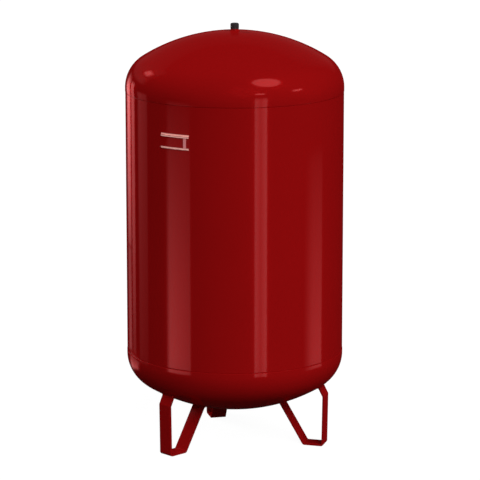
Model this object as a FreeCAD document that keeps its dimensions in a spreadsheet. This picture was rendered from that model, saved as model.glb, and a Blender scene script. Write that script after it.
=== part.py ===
import FreeCAD, Part

import math
import os
import re

import Sketcher

# Floor-standing expansion tank for a heating system: a closed steel vessel on three bent
# strip legs, with a rubber diaphragm inside, a water socket below and a gas valve on top.
# Millimetres. The origin is on the floor at the tank's axis, +Z is up, one leg is on +X,
# and the front of the tank looks along -Y.

doc = FreeCAD.newDocument("ExpansionTank")

# Driving sizes
SIZES = [
    ("head_radius", 395.0, "outer radius of both dished heads"),
    ("head_wall", 3.5, "plate of the heads"),
    ("shell_wall", 2.5, "plate of the shell, flush with the heads inside"),
    ("straight_flange", 14.0, "straight rim of a head beside the seam"),
    ("crown_radius", 636.0, "outer radius of a head's crown"),
    ("knuckle_radius", 125.0, "outer radius of a head's knuckle"),
    ("shell_length", 951.0, "from seam to seam"),
    ("ground_gap", 130.0, "from the floor to the lowest point of the lower head"),
    ("weld_gap", 0.2, "root gap of welded pieces"),
    ("bead_width", 7.0, "long weld bead of the rolled shell"),
    ("bead_crown", 3.5, "flat top of that bead"),
    ("bead_rise", 0.8, "height of that bead above the shell"),
    ("leg_width", 57.0, "strip of the legs"),
    ("leg_thickness", 8.0, "strip of the legs"),
    ("leg_bend", 3.0, "inner radius of the strip's bends"),
    ("leg_inset", 46.0, "head's outside to the post's upper bend"),
    ("foot_inset", 49.0, "head's outside to the foot's outer end"),
    ("foot_length", 78.0, "flat foot, from post to brace"),
    ("post_bend_rise", 58.7, "lower head's lowest point to the post's upper bend"),
    ("post_lean", 27.0, "degrees from upright, above the upper bend"),
    ("post_end_drop", 78.7, "lower seam to the upper end of the post"),
    ("brace_lean", 30.8, "degrees from upright"),
    ("brace_end_rise", 60.6, "lower head's lowest point to the brace's untrimmed end"),
    ("holder_drop", 100.0, "upper seam to the plate holder's top edge"),
    ("holder_height", 55.0, "plate holder, edge to edge"),
    ("holder_turn", -105.7, "degrees from +X to the plate holder's middle"),
    ("rail_length", 115.0, "plate holder's rails, along the shell"),
    ("rail_sheet", 1.2, "sheet of the rails"),
    ("rail_stand", 3.7, "rail's depth off the shell"),
    ("top_rail_height", 12.0, "upper rail, edge to edge"),
    ("top_rail_flange", 6.5, "upper rail's welded flange"),
    ("low_rail_height", 8.0, "lower rail, edge to edge"),
    ("low_rail_flange", 3.2, "lower rail's welded flange"),
    ("stop_turn", 6.0, "degrees from the holder's middle to its end stop"),
    ("stop_width", 10.5, "end stop, along the shell"),
    ("stop_thickness", 2.0, "end stop, off the shell"),
    ("boss_radius", 15.0, "valve boss in the upper head"),
    ("boss_rise", 8.0, "valve boss's shoulder above the head"),
    ("boss_depth", 9.0, "valve boss below the head's top"),
    ("neck_radius", 12.6, "threaded neck of the valve boss"),
    ("neck_height", 6.0, "threaded neck of the valve boss"),
    ("edge_break", 0.5, "chamfer on turned edges of the boss and the stem"),
    ("valve_thread_radius", 6.5, "valve's threaded shank"),
    ("thread_gap", 0.08, "radial gap of screwed pieces"),
    ("washer_thickness", 1.2, "sealing ring under the valve"),
    ("hex_flats", 17.0, "valve's hexagon, across flats"),
    ("hex_height", 3.5, "valve's hexagon"),
    ("hex_sink", 0.5, "how far the hexagon reaches into the stem"),
    ("stem_radius", 3.85, "valve's stem"),
    ("stem_length", 6.5, "valve's stem above the hexagon"),
    ("core_radius", 2.57, "threaded head of the valve core"),
    ("core_tube_radius", 1.75, "lower tube of the valve core"),
    ("core_tube_gap", 0.2, "radial gap round that tube"),
    ("core_depth", 15.5, "stem's tip to the lower end of the core"),
    ("core_head_height", 3.5, "threaded head of the valve core"),
    ("core_undercut", 0.5, "step in from the threaded head to the barrel's middle"),
    ("gasket_rise", 3.6, "core's lower end to its gasket"),
    ("gasket_height", 1.2, "core's gasket, with its gaps"),
    ("gasket_cone", 0.7, "cone below the gasket, in the valve"),
    ("soft_gap", 0.04, "radial gap inside the core's soft rings"),
    ("soft_seat", 0.05, "gap over and under the core's soft rings"),
    ("pin_radius", 0.6, "valve core's pin"),
    ("pin_gap", 0.06, "radial running gap of the pin"),
    ("pin_travel", 1.5, "how far the pin is pressed, and stands above its barrel"),
    ("pin_recess", 0.4, "pin's tip below the stem's tip"),
    ("pin_chamfer", 0.2, "pin's tip"),
    ("pin_foot_drop", 3.0, "core's lower end to the pin's lower end"),
    ("plate_inset", 0.15, "step in from the core's tube to the pin's plate"),
    ("seal_thickness", 1.07, "soft ring on the pin's plate"),
    ("seal_gap", 0.08, "barrel to that ring, with the valve closed"),
    ("collar_drop", 3.3, "top of the barrel to the underside of the pin's collar"),
    ("collar_height", 0.8, "pin's collar"),
    ("collar_gap", 0.15, "radial gap of the collar in the barrel"),
    ("barrel_floor", 2.5, "core's lower end to the spring's seat"),
    ("spring_wire", 0.15, "radius of the spring's wire"),
    ("spring_radius", 1.0, "mean radius of the spring"),
    ("spring_pitch", 1.3, "rise for each turn of the spring"),
    ("spring_gap", 0.25, "radial gap of the spring in the barrel"),
    ("spring_seat", 0.05, "gap at each end of the spring"),
    ("cap_radius", 15.3, "valve cap"),
    ("cap_height", 19.0, "valve cap"),
    ("cap_gap", 0.15, "radial gap of the cap's skirt on the neck"),
    ("cap_top", 2.0, "top of the valve cap"),
    ("cap_chamfer", 1.4, "upper edge of the valve cap"),
    ("cap_seal_thickness", 1.0, "flat ring under the cap's skirt"),
    ("seat_gap", 0.1, "gap between the cap and its ring"),
    ("flute_count", 18.0, "grip flutes round the cap"),
    ("flute_radius", 1.5, "grip flutes"),
    ("flute_depth", 0.7, "grip flutes"),
    ("flute_rise", 2.0, "plain rim below the grip flutes"),
    ("socket_radius", 21.0, "water socket in the lower head"),
    ("socket_drop", 12.0, "water socket below the head"),
    ("socket_length", 21.0, "water socket, end to end"),
    ("water_thread_radius", 15.15, "crest radius of the water socket's inner thread"),
    ("mouth_chamfer", 1.0, "lead-in of the water socket"),
    ("guard_thickness", 2.0, "port guard over the socket's inner end"),
    ("guard_ledge", 2.5, "ledge that carries the port guard"),
    ("guard_gap", 0.1, "radial gap of the port guard on its ledge"),
    ("guard_hole", 3.2, "radius of the port guard's holes"),
    ("guard_circle", 10.3, "radius of the port guard's ring of holes"),
    ("guard_hole_count", 6.0, "holes in that ring"),
    ("rubber_wall", 3.0, "diaphragm"),
    ("rubber_gap", 6.5, "lower head to the diaphragm"),
    ("rim_height", 10.6, "diaphragm's thick rim"),
    ("rim_width", 8.8, "diaphragm's thick rim"),
    ("rim_chamfer", 2.0, "diaphragm's thick rim"),
    ("rim_lap", 1.0, "how far the rim's root reaches down the diaphragm"),
    ("rim_gap", 0.2, "diaphragm's rim in its clamp ring"),
    ("ring_sheet", 2.0, "clamp ring"),
    ("ring_rise", 3.0, "lower seam to the clamp ring"),
]

# Sizes that follow from the driving ones
DERIVED = [
    ("inner_radius", "=head_radius - head_wall"),
    ("shell_radius", "=inner_radius + shell_wall"),
    ("dish_height", "=crown_radius - sqrt((crown_radius - knuckle_radius)^2"
                    " - (head_radius - knuckle_radius)^2)"),
    ("head_height", "=straight_flange + dish_height"),
    ("lower_seam", "=ground_gap + head_height"),
    ("upper_seam", "=lower_seam + shell_length"),
    ("upper_apex", "=upper_seam + head_height"),
    ("post_radius", "=head_radius - leg_inset"),
    ("post_bend", "=ground_gap + post_bend_rise"),
    ("post_top", "=lower_seam - post_end_drop"),
    ("foot_outer", "=head_radius - foot_inset"),
    ("foot_inner", "=foot_outer - foot_length"),
    ("brace_top", "=ground_gap + brace_end_rise"),
    ("rail_radius", "=shell_radius + weld_gap"),
    ("rail_face", "=rail_radius + rail_stand"),
    ("boss_foot", "=0 - boss_depth"),
    ("boss_bore", "=valve_thread_radius + thread_gap"),
    ("neck_top", "=boss_rise + neck_height"),
    ("hex_base", "=neck_top + washer_thickness"),
    ("hex_top", "=hex_base + hex_height"),
    ("stem_top", "=hex_top + stem_length"),
    ("chamber_radius", "=core_radius + thread_gap"),
    ("low_bore_radius", "=core_tube_radius + core_tube_gap"),
    ("core_foot", "=stem_top - core_depth"),
    ("gasket_foot", "=core_foot + gasket_rise"),
    ("gasket_top", "=gasket_foot + gasket_height"),
    ("core_top", "=stem_top - pin_recess - pin_travel"),
    ("core_neck", "=core_top - core_head_height"),
    ("spring_ledge", "=core_foot + barrel_floor"),
    ("collar_foot", "=core_top - collar_drop"),
    ("spring_bore", "=spring_radius + spring_wire + spring_gap"),
    ("seal_top", "=core_foot - seal_gap"),
    ("seal_foot", "=seal_top - seal_thickness"),
    ("plate_radius", "=core_tube_radius - plate_inset"),
    ("plate_top", "=seal_foot - soft_seat"),
    ("collar_radius", "=spring_bore - collar_gap"),
    ("collar_top", "=collar_foot + collar_height"),
    ("pin_tip", "=core_top + pin_travel"),
    ("skirt_bore", "=neck_radius + cap_gap"),
    ("cap_foot", "=boss_rise + cap_seal_thickness + seat_gap"),
    ("cap_crown", "=cap_foot + cap_height"),
    ("cap_ceiling", "=cap_crown - cap_top"),
    ("socket_foot", "=ground_gap - socket_drop"),
    ("socket_top", "=socket_foot + socket_length"),
    ("ledge_radius", "=water_thread_radius + guard_ledge"),
    ("ledge_height", "=socket_top - guard_thickness"),
    ("rubber_radius", "=inner_radius - rubber_gap"),
    ("ring_radius", "=inner_radius - weld_gap"),
    ("rim_outer", "=ring_radius - ring_sheet - rim_gap"),
    ("rim_inner", "=rim_outer - rim_width"),
    ("rim_foot", "=ring_rise + ring_sheet"),
    ("rim_top", "=rim_foot + rim_height"),
]

sheet = doc.addObject("Spreadsheet::Sheet", "Sizes")
for row, (alias, size, note) in enumerate(SIZES, start=1):
    sheet.set(f"A{row}", alias)
    sheet.set(f"B{row}", str(size))
    sheet.set(f"C{row}", note)
    sheet.setAlias(f"B{row}", alias)
for row, (alias, rule) in enumerate(DERIVED, start=len(SIZES) + 1):
    sheet.set(f"A{row}", alias)
    sheet.set(f"B{row}", rule)
    sheet.setAlias(f"B{row}", alias)
doc.recompute()

ALIASES = [entry[0] for entry in SIZES + DERIVED]
TINY = 1e-6
NEAR = 0.01
HEX_SIDES = 6
WIRE_SIDES = 6
sub_parts = []


def bound(rule):
    """Write a rule in plain aliases as an expression on the sheet."""
    return re.sub(r"[a-z_]+", prefixed, str(rule))


def prefixed(match):
    """Put the sheet's name before a word that is one of its aliases."""
    word = match.group()
    return "Sizes." + word if word in ALIASES else word


def number(rule):
    """Value of a rule with the sheet's present sizes."""
    return float(sheet.evalExpression(bound(rule)))


def new_body(label, rise="0", turn="0", tip_over="0"):
    """Body that stands at a height, turned about the axis or tipped upside down."""
    body = doc.addObject("PartDesign::Body", label)
    body.Label = label
    tip = f"create(<<rotation>>; create(<<vector>>; 1; 0; 0); {bound(tip_over)})"
    spin = f"create(<<rotation>>; create(<<vector>>; 0; 0; 1); {bound(turn)})"
    place = f"create(<<vector>>; 0; 0; {bound(rise)})"
    body.setExpression("Placement", f"create(<<placement>>; {place}; {spin} * {tip})")
    sub_parts.append(body)
    return body


def new_sketch(body, name, role="XZ_Plane", shift="0", flipped=False):
    """Sketch on one of the body's own origin planes, shifted up it or upside down."""
    sketch = body.newObject("Sketcher::SketchObject", name)
    plane = [item for item in body.Origin.OriginFeatures if item.Role == role][0]
    sketch.AttachmentSupport = [(plane, "")]
    sketch.MapMode = "FlatFace"
    turn = FreeCAD.Rotation(FreeCAD.Vector(1, 0, 0), 180 if flipped else 0)
    sketch.AttachmentOffset = FreeCAD.Placement(FreeCAD.Vector(0, number(shift), 0), turn)
    sketch.setExpression("AttachmentOffset.Base.y", bound(shift))
    return sketch


def pin_point(sketch, line, end, across, up):
    """Hold one end of a line at a place given by two rules."""
    for rule, kind, axis in ((across, "DistanceX", -2), (up, "DistanceY", -1)):
        value = number(rule)
        if abs(value) < TINY:
            sketch.addConstraint(Sketcher.Constraint("PointOnObject", line, end, axis))
            continue
        index = sketch.addConstraint(Sketcher.Constraint(kind, -1, 1, line, end, value))
        sketch.setExpression(f"Constraints[{index}]", bound(rule))


def add_loop(sketch, corners):
    """Closed outline of straight lines through corners given as pairs of rules."""
    first = sketch.GeometryCount
    points = [FreeCAD.Vector(number(across), number(up), 0) for across, up in corners]
    for start, end in zip(points, points[1:] + points[:1]):
        sketch.addGeometry(Part.LineSegment(start, end), False)
    for index, (across, up) in enumerate(corners):
        after = first + (index + 1) % len(corners)
        sketch.addConstraint(Sketcher.Constraint("Coincident", first + index, 2, after, 1))
        pin_point(sketch, first + index, 1, across, up)


def loop_sketch(body, name, corners, **place):
    """Sketch that holds one outline of straight lines."""
    sketch = new_sketch(body, name, **place)
    add_loop(sketch, corners)
    return sketch


def dish_sketch(body, name, radius, flange, knuckle, crown, **place):
    """Half section of a closed dished head: rim, knuckle and crown arcs, axis and base."""
    sketch = new_sketch(body, name, **place)
    rim, rise, small, large = (number(rule) for rule in (radius, flange, knuckle, crown))
    hub = FreeCAD.Vector(rim - small, rise, 0)
    drop = math.sqrt((large - small) ** 2 - hub.x ** 2)
    centre = FreeCAD.Vector(0, rise - drop, 0)
    meet = math.atan2(drop, hub.x)
    apex = FreeCAD.Vector(0, centre.y + large, 0)
    base = FreeCAD.Vector(rim, 0, 0)
    origin = FreeCAD.Vector(0, 0, 0)
    normal = FreeCAD.Vector(0, 0, 1)
    sketch.addGeometry(Part.LineSegment(base, FreeCAD.Vector(rim, rise, 0)), False)
    sketch.addGeometry(Part.ArcOfCircle(Part.Circle(hub, normal, small), 0, meet), False)
    sketch.addGeometry(Part.ArcOfCircle(Part.Circle(centre, normal, large), meet, math.pi / 2), False)
    sketch.addGeometry(Part.LineSegment(apex, origin), False)
    sketch.addGeometry(Part.LineSegment(origin, base), False)
    for tie in (
        ("Tangent", 0, 2, 1, 1),
        ("Tangent", 1, 2, 2, 1),
        ("Coincident", 2, 2, 3, 1),
        ("Coincident", 3, 2, -1, 1),
        ("Coincident", 4, 1, 3, 2),
        ("Coincident", 4, 2, 0, 1),
        ("Horizontal", 4),
        ("Vertical", 0),
        ("Vertical", 3),
        ("PointOnObject", 2, 3, -2),
    ):
        sketch.addConstraint(Sketcher.Constraint(*tie))
    for rule, size in (
        (radius, ("DistanceX", 4, 1, 4, 2, rim)),
        (flange, ("DistanceY", 0, 1, 0, 2, rise)),
        (knuckle, ("Radius", 1, small)),
        (crown, ("Radius", 2, large)),
    ):
        index = sketch.addConstraint(Sketcher.Constraint(*size))
        sketch.setExpression(f"Constraints[{index}]", bound(rule))
    return sketch


def circle_sketch(body, name, radius, across="0", **place):
    """Sketch of one circle whose centre stands on the sketch's first axis."""
    sketch = new_sketch(body, name, **place)
    centre = FreeCAD.Vector(number(across), 0, 0)
    circle = Part.Circle(centre, FreeCAD.Vector(0, 0, 1), number(radius))
    sketch.addGeometry(circle, False)
    pin_point(sketch, 0, 3, across, "0")
    index = sketch.addConstraint(Sketcher.Constraint("Radius", 0, number(radius)))
    sketch.setExpression(f"Constraints[{index}]", bound(radius))
    return sketch


def turned(body, kind, sketch, sweep="360", midplane=False):
    """Revolution or Groove of a sketch about its own upright axis."""
    feature = body.newObject("PartDesign::" + kind, sketch.Name + kind)
    feature.Profile = sketch
    feature.ReferenceAxis = (sketch, ["V_Axis"])
    feature.Midplane = midplane
    feature.setExpression("Angle", bound(sweep))
    return feature


def pushed(body, kind, sketch, length, side="One side", backwards=False):
    """Pad or Pocket of a sketch."""
    feature = body.newObject("PartDesign::" + kind, sketch.Name + kind)
    feature.Profile = sketch
    feature.SideType = side
    feature.Reversed = backwards
    feature.setExpression("Length", bound(length))
    return feature


def repeated(body, feature, sketch, count):
    """Polar pattern of a feature about the normal of its sketch."""
    pattern = body.newObject("PartDesign::PolarPattern", feature.Name + "Pattern")
    pattern.Originals = [feature]
    pattern.Axis = (sketch, ["N_Axis"])
    pattern.Angle = 360
    pattern.setExpression("Occurrences", bound(count))
    body.Tip = pattern
    return pattern


def check_removed(body, before, name):
    """Stop if a cut took nothing away."""
    doc.recompute()
    if body.Shape.Volume > before - TINY:
        raise ValueError(f"{name} removed nothing")


# Dished heads
def build_head(label, rise, tip_over, port_radius):
    """Deep-drawn head with a port hole in the middle of its crown."""
    body = new_body(label, rise=rise, tip_over=tip_over)
    outside = dish_sketch(
        body, label + "_outside",
        "head_radius", "straight_flange", "knuckle_radius", "crown_radius",
    )
    turned(body, "Revolution", outside)
    doc.recompute()
    full = body.Shape.Volume
    inside = dish_sketch(
        body, label + "_inside",
        "inner_radius", "straight_flange", "knuckle_radius - head_wall", "crown_radius - head_wall",
    )
    turned(body, "Groove", inside)
    check_removed(body, full, inside.Name)
    hollow = body.Shape.Volume
    hole = loop_sketch(body, label + "_port", [
        ("0", "straight_flange"),
        (port_radius, "straight_flange"),
        (port_radius, "head_height + head_wall"),
        ("0", "head_height + head_wall"),
    ])
    turned(body, "Groove", hole)
    check_removed(body, hollow, hole.Name)


# Rolled shell with its long weld bead at the back
def build_shell():
    body = new_body("shell", rise="lower_seam")
    wall = loop_sketch(body, "shell_wall", [
        ("inner_radius", "0"),
        ("shell_radius", "0"),
        ("shell_radius", "shell_length"),
        ("inner_radius", "shell_length"),
    ])
    turned(body, "Revolution", wall)
    bead = loop_sketch(body, "long_bead", [
        ("0 - bead_width / 2", "shell_radius - bead_rise"),
        ("bead_width / 2", "shell_radius - bead_rise"),
        ("bead_crown / 2", "shell_radius + bead_rise"),
        ("0 - bead_crown / 2", "shell_radius + bead_rise"),
    ], role="XY_Plane")
    pushed(body, "Pad", bead, "shell_length")


# Legs: one strip each, bent into post, foot and brace, and trimmed to the lower head
def build_leg(label, turn):
    body = new_body(label, turn=turn)
    outer = [
        ("post_radius - (post_top - post_bend) * tan(post_lean)", "post_top"),
        ("post_radius", "post_bend"),
        ("foot_outer", "0"),
        ("foot_inner", "0"),
        ("foot_inner - brace_top * tan(brace_lean)", "brace_top"),
    ]
    sketch = new_sketch(body, label + "_strip")
    points = [FreeCAD.Vector(number(across), number(up), 0) for across, up in outer]
    inner = offset_points(points, number("leg_thickness"))
    ring = points + inner[::-1]
    for start, end in zip(ring, ring[1:] + ring[:1]):
        sketch.addGeometry(Part.LineSegment(start, end), False)
    runs = len(points) - 1
    for index in range(len(ring)):
        after = (index + 1) % len(ring)
        sketch.addConstraint(Sketcher.Constraint("Coincident", index, 2, after, 1))
    for index, (across, up) in enumerate(outer):
        pin_point(sketch, index, 1, across, up)
    for index in range(runs):
        facing = 2 * runs - index
        sketch.addConstraint(Sketcher.Constraint("Parallel", facing, index))
        thick = number("leg_thickness")
        width = sketch.addConstraint(Sketcher.Constraint("Distance", index, 1, facing, thick))
        sketch.setExpression(f"Constraints[{width}]", bound("leg_thickness"))
    sketch.addConstraint(Sketcher.Constraint("Perpendicular", runs, runs - 1))
    sketch.addConstraint(Sketcher.Constraint("Perpendicular", 2 * runs + 1, 0))
    strip = pushed(body, "Pad", sketch, "leg_width", side="Symmetric")
    doc.recompute()
    outside_bends = round_bends(body, strip, points[1:-1], "leg_bend + leg_thickness")
    doc.recompute()
    round_bends(body, outside_bends, inner[1:-1], "leg_bend")
    doc.recompute()
    whole = body.Shape.Volume
    trim = dish_sketch(
        body, label + "_trim",
        "head_radius + weld_gap", "straight_flange + weld_gap",
        "knuckle_radius + weld_gap", "crown_radius + weld_gap",
        shift="lower_seam + weld_gap", flipped=True,
    )
    turned(body, "Groove", trim)
    check_removed(body, whole, trim.Name)


def offset_points(points, distance):
    """Corners of the same open outline, moved by a distance to the right of its course."""
    sides = []
    for start, end in zip(points, points[1:]):
        along = (end - start).normalize()
        across = FreeCAD.Vector(along.y, -along.x, 0) * distance
        sides.append((start + across, end + across, along))
    moved = [sides[0][0]]
    for (near, _, along), (far, _, ahead) in zip(sides, sides[1:]):
        spread = along.x * ahead.y - along.y * ahead.x
        gap = far - near
        moved.append(near + along * ((gap.x * ahead.y - gap.y * ahead.x) / spread))
    moved.append(sides[-1][1])
    return moved


def round_bends(body, base, corners, radius):
    """Fillet the strip's cross edges that stand at the given corners."""
    names = []
    for index, edge in enumerate(base.Shape.Edges, start=1):
        middle = edge.BoundBox.Center
        for corner in corners:
            near = math.hypot(middle.x - corner.x, middle.z - corner.y) < NEAR
            if near and edge.BoundBox.YLength > NEAR:
                names.append(f"Edge{index}")
    if len(names) != len(corners):
        raise ValueError(f"{body.Label}: found {len(names)} bend edges")
    fillet = body.newObject("PartDesign::Fillet", base.Name + "Fillet")
    fillet.Base = (base, names)
    fillet.setExpression("Radius", bound(radius))
    return fillet


# Plate holder: two Z-shaped rails and an end stop on the shell
def build_rail(label, edge_rise, inward, height, flange):
    """Rail rolled round the shell; its lip stands off the shell towards the other rail."""
    body = new_body(label, rise=edge_rise, turn="holder_turn")
    profile = loop_sketch(body, label + "_profile", [
        ("rail_radius", "0"),
        ("rail_radius + rail_sheet", "0"),
        ("rail_radius + rail_sheet", f"{inward} * ( {flange} - rail_sheet )"),
        ("rail_face", f"{inward} * ( {flange} - rail_sheet )"),
        ("rail_face", f"{inward} * {height}"),
        ("rail_face - rail_sheet", f"{inward} * {height}"),
        ("rail_face - rail_sheet", f"{inward} * {flange}"),
        ("rail_radius", f"{inward} * {flange}"),
    ])
    turned(body, "Revolution", profile, "rail_length / shell_radius * 180 / pi", midplane=True)


def build_end_stop():
    body = new_body("end_stop", rise="upper_seam - holder_drop", turn="holder_turn + stop_turn")
    profile = loop_sketch(body, "stop_profile", [
        ("rail_radius", "weld_gap - holder_height + low_rail_flange"),
        ("rail_radius + stop_thickness", "weld_gap - holder_height + low_rail_flange"),
        ("rail_radius + stop_thickness", "0 - top_rail_flange - weld_gap"),
        ("rail_radius", "0 - top_rail_flange - weld_gap"),
    ])
    turned(body, "Revolution", profile, "stop_width / shell_radius * 180 / pi", midplane=True)


# Gas valve on the upper head; heights are counted from the head's top
def build_valve_boss():
    body = new_body("valve_boss", rise="upper_apex")
    ring = loop_sketch(body, "boss_ring", [
        ("boss_bore", "boss_foot"),
        ("boss_radius", "boss_foot"),
        ("boss_radius", "boss_rise - edge_break"),
        ("boss_radius - edge_break", "boss_rise"),
        ("neck_radius", "boss_rise"),
        ("neck_radius", "neck_top - edge_break"),
        ("neck_radius - edge_break", "neck_top"),
        ("boss_bore", "neck_top"),
    ])
    turned(body, "Revolution", ring)


def build_valve_washer():
    body = new_body("valve_washer", rise="upper_apex")
    ring = loop_sketch(body, "washer_ring", [
        ("boss_bore", "neck_top"),
        ("hex_flats / 2", "neck_top"),
        ("hex_flats / 2", "hex_base"),
        ("boss_bore", "hex_base"),
    ])
    turned(body, "Revolution", ring)


def build_valve_body():
    body = new_body("valve_body", rise="upper_apex")
    core = loop_sketch(body, "valve_section", [
        ("low_bore_radius", "boss_foot"),
        ("valve_thread_radius", "boss_foot"),
        ("valve_thread_radius", "hex_base + hex_height / 2"),
        ("stem_radius", "hex_base + hex_height / 2"),
        ("stem_radius", "stem_top - edge_break"),
        ("stem_radius - edge_break", "stem_top"),
        ("chamber_radius", "stem_top"),
        ("chamber_radius", "gasket_foot"),
        ("low_bore_radius", "gasket_foot - gasket_cone"),
    ])
    turned(body, "Revolution", core)
    corners = [
        (f"hex_flats / sqrt(3) * cos({turn})", f"hex_flats / sqrt(3) * sin({turn})")
        for turn in range(0, 360, 360 // HEX_SIDES)
    ]
    hexagon = loop_sketch(body, "valve_hexagon", corners, role="XY_Plane")
    hexagon.AttachmentOffset = FreeCAD.Placement(
        FreeCAD.Vector(0, 0, number("hex_base")), FreeCAD.Rotation()
    )
    hexagon.setExpression("AttachmentOffset.Base.z", bound("hex_base"))
    index = hexagon.GeometryCount
    hole = number("stem_radius - hex_sink")
    centre = FreeCAD.Vector(0, 0, 0)
    hexagon.addGeometry(Part.Circle(centre, FreeCAD.Vector(0, 0, 1), hole), False)
    pin_point(hexagon, index, 3, "0", "0")
    bore = hexagon.addConstraint(Sketcher.Constraint("Radius", index, hole))
    hexagon.setExpression(f"Constraints[{bore}]", bound("stem_radius - hex_sink"))
    pushed(body, "Pad", hexagon, "hex_height")


# Valve core: barrel, gasket, sprung pin and its seal
def build_core_barrel():
    body = new_body("core_barrel", rise="upper_apex")
    section = loop_sketch(body, "barrel_section", [
        ("pin_radius + pin_gap", "core_foot"),
        ("core_tube_radius", "core_foot"),
        ("core_tube_radius", "gasket_top"),
        ("core_radius - core_undercut", "gasket_top"),
        ("core_radius - core_undercut", "core_neck"),
        ("core_radius", "core_neck"),
        ("core_radius", "core_top"),
        ("spring_bore", "core_top"),
        ("spring_bore", "spring_ledge"),
        ("pin_radius + pin_gap", "spring_ledge"),
    ])
    turned(body, "Revolution", section)


def build_core_gasket():
    body = new_body("core_gasket", rise="upper_apex")
    section = loop_sketch(body, "gasket_section", [
        ("core_tube_radius + soft_gap", "gasket_foot + soft_seat"),
        ("core_radius", "gasket_foot + soft_seat"),
        ("core_radius", "gasket_top - soft_seat"),
        ("core_tube_radius + soft_gap", "gasket_top - soft_seat"),
    ])
    turned(body, "Revolution", section)


def build_core_pin():
    body = new_body("core_pin", rise="upper_apex")
    section = loop_sketch(body, "pin_section", [
        ("0", "core_foot - pin_foot_drop"),
        ("plate_radius", "core_foot - pin_foot_drop"),
        ("plate_radius", "plate_top"),
        ("pin_radius", "plate_top"),
        ("pin_radius", "collar_foot"),
        ("collar_radius", "collar_foot"),
        ("collar_radius", "collar_top"),
        ("pin_radius", "collar_top"),
        ("pin_radius", "pin_tip - pin_chamfer"),
        ("pin_radius - pin_chamfer", "pin_tip"),
        ("0", "pin_tip"),
    ])
    turned(body, "Revolution", section)


def build_core_seal():
    body = new_body("core_seal", rise="upper_apex")
    section = loop_sketch(body, "seal_section", [
        ("pin_radius + soft_gap", "seal_foot"),
        ("plate_radius - soft_seat", "seal_foot"),
        ("plate_radius - soft_seat", "seal_top"),
        ("pin_radius + soft_gap", "seal_top"),
    ])
    turned(body, "Revolution", section)


def build_core_spring():
    """Sprung helix swept by a six-sided wire, which keeps so fine a piece light."""
    path = doc.addObject("Part::Helix", "spring_path")
    path.setExpression("Radius", bound("spring_radius"))
    path.setExpression("Pitch", bound("spring_pitch"))
    path.setExpression("Height", bound("collar_foot - spring_ledge - 2 * (spring_wire + spring_seat)"))
    wire = doc.addObject("Part::RegularPolygon", "spring_wire_section")
    wire.Polygon = WIRE_SIDES
    wire.setExpression("Circumradius", bound("spring_wire"))
    upright = FreeCAD.Rotation(FreeCAD.Vector(1, 0, 0), 90)
    wire.Placement = FreeCAD.Placement(FreeCAD.Vector(number("spring_radius"), 0, 0), upright)
    wire.setExpression("Placement.Base.x", bound("spring_radius"))
    coil = doc.addObject("Part::Sweep", "core_spring")
    coil.Label = "core_spring"
    coil.Sections = [wire]
    coil.Spine = (path, ["Edge1"])
    coil.Solid = True
    coil.Frenet = True
    seat = bound("upper_apex + spring_ledge + spring_wire + spring_seat")
    coil.setExpression("Placement.Base.z", seat)
    sub_parts.append(coil)


# Valve cap, screwed over the boss's neck, and the flat ring that it presses on
def build_valve_cap():
    body = new_body("valve_cap", rise="upper_apex")
    section = loop_sketch(body, "cap_section", [
        ("0", "cap_ceiling"),
        ("skirt_bore", "cap_ceiling"),
        ("skirt_bore", "cap_foot"),
        ("cap_radius", "cap_foot"),
        ("cap_radius", "cap_crown - cap_chamfer"),
        ("cap_radius - cap_chamfer", "cap_crown"),
        ("0", "cap_crown"),
    ])
    turned(body, "Revolution", section)
    doc.recompute()
    plain = body.Shape.Volume
    flute = circle_sketch(
        body, "cap_flute", "flute_radius", across="cap_radius + flute_radius - flute_depth",
        role="XY_Plane",
    )
    flute.AttachmentOffset = FreeCAD.Placement(
        FreeCAD.Vector(0, 0, number("cap_foot + flute_rise")), FreeCAD.Rotation()
    )
    flute.setExpression("AttachmentOffset.Base.z", bound("cap_foot + flute_rise"))
    groove = pushed(body, "Pocket", flute, "cap_height", backwards=True)
    repeated(body, groove, flute, "flute_count")
    check_removed(body, plain, flute.Name)


def build_cap_seal():
    body = new_body("cap_seal", rise="upper_apex")
    ring = loop_sketch(body, "cap_seal_section", [
        ("neck_radius + thread_gap", "boss_rise"),
        ("boss_radius - edge_break", "boss_rise"),
        ("boss_radius - edge_break", "boss_rise + cap_seal_thickness"),
        ("neck_radius + thread_gap", "boss_rise + cap_seal_thickness"),
    ])
    turned(body, "Revolution", ring)


# Water connection in the lower head
def build_water_socket():
    body = new_body("water_socket")
    ring = loop_sketch(body, "socket_ring", [
        ("water_thread_radius + mouth_chamfer", "socket_foot"),
        ("socket_radius", "socket_foot"),
        ("socket_radius", "socket_top"),
        ("ledge_radius", "socket_top"),
        ("ledge_radius", "ledge_height"),
        ("water_thread_radius", "ledge_height"),
        ("water_thread_radius", "socket_foot + mouth_chamfer"),
    ])
    turned(body, "Revolution", ring)


def build_port_guard():
    body = new_body("port_guard", rise="ledge_height")
    disc = circle_sketch(body, "guard_disc", "ledge_radius - guard_gap", role="XY_Plane")
    pushed(body, "Pad", disc, "guard_thickness")
    middle = circle_sketch(body, "guard_middle_hole", "guard_hole", role="XY_Plane")
    doc.recompute()
    whole = body.Shape.Volume
    pushed(body, "Pocket", middle, "guard_thickness", backwards=True)
    check_removed(body, whole, middle.Name)
    pierced = body.Shape.Volume
    outer = circle_sketch(
        body, "guard_outer_hole", "guard_hole", across="guard_circle", role="XY_Plane"
    )
    hole = pushed(body, "Pocket", outer, "guard_thickness", backwards=True)
    repeated(body, hole, outer, "guard_hole_count")
    check_removed(body, pierced, outer.Name)


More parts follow.
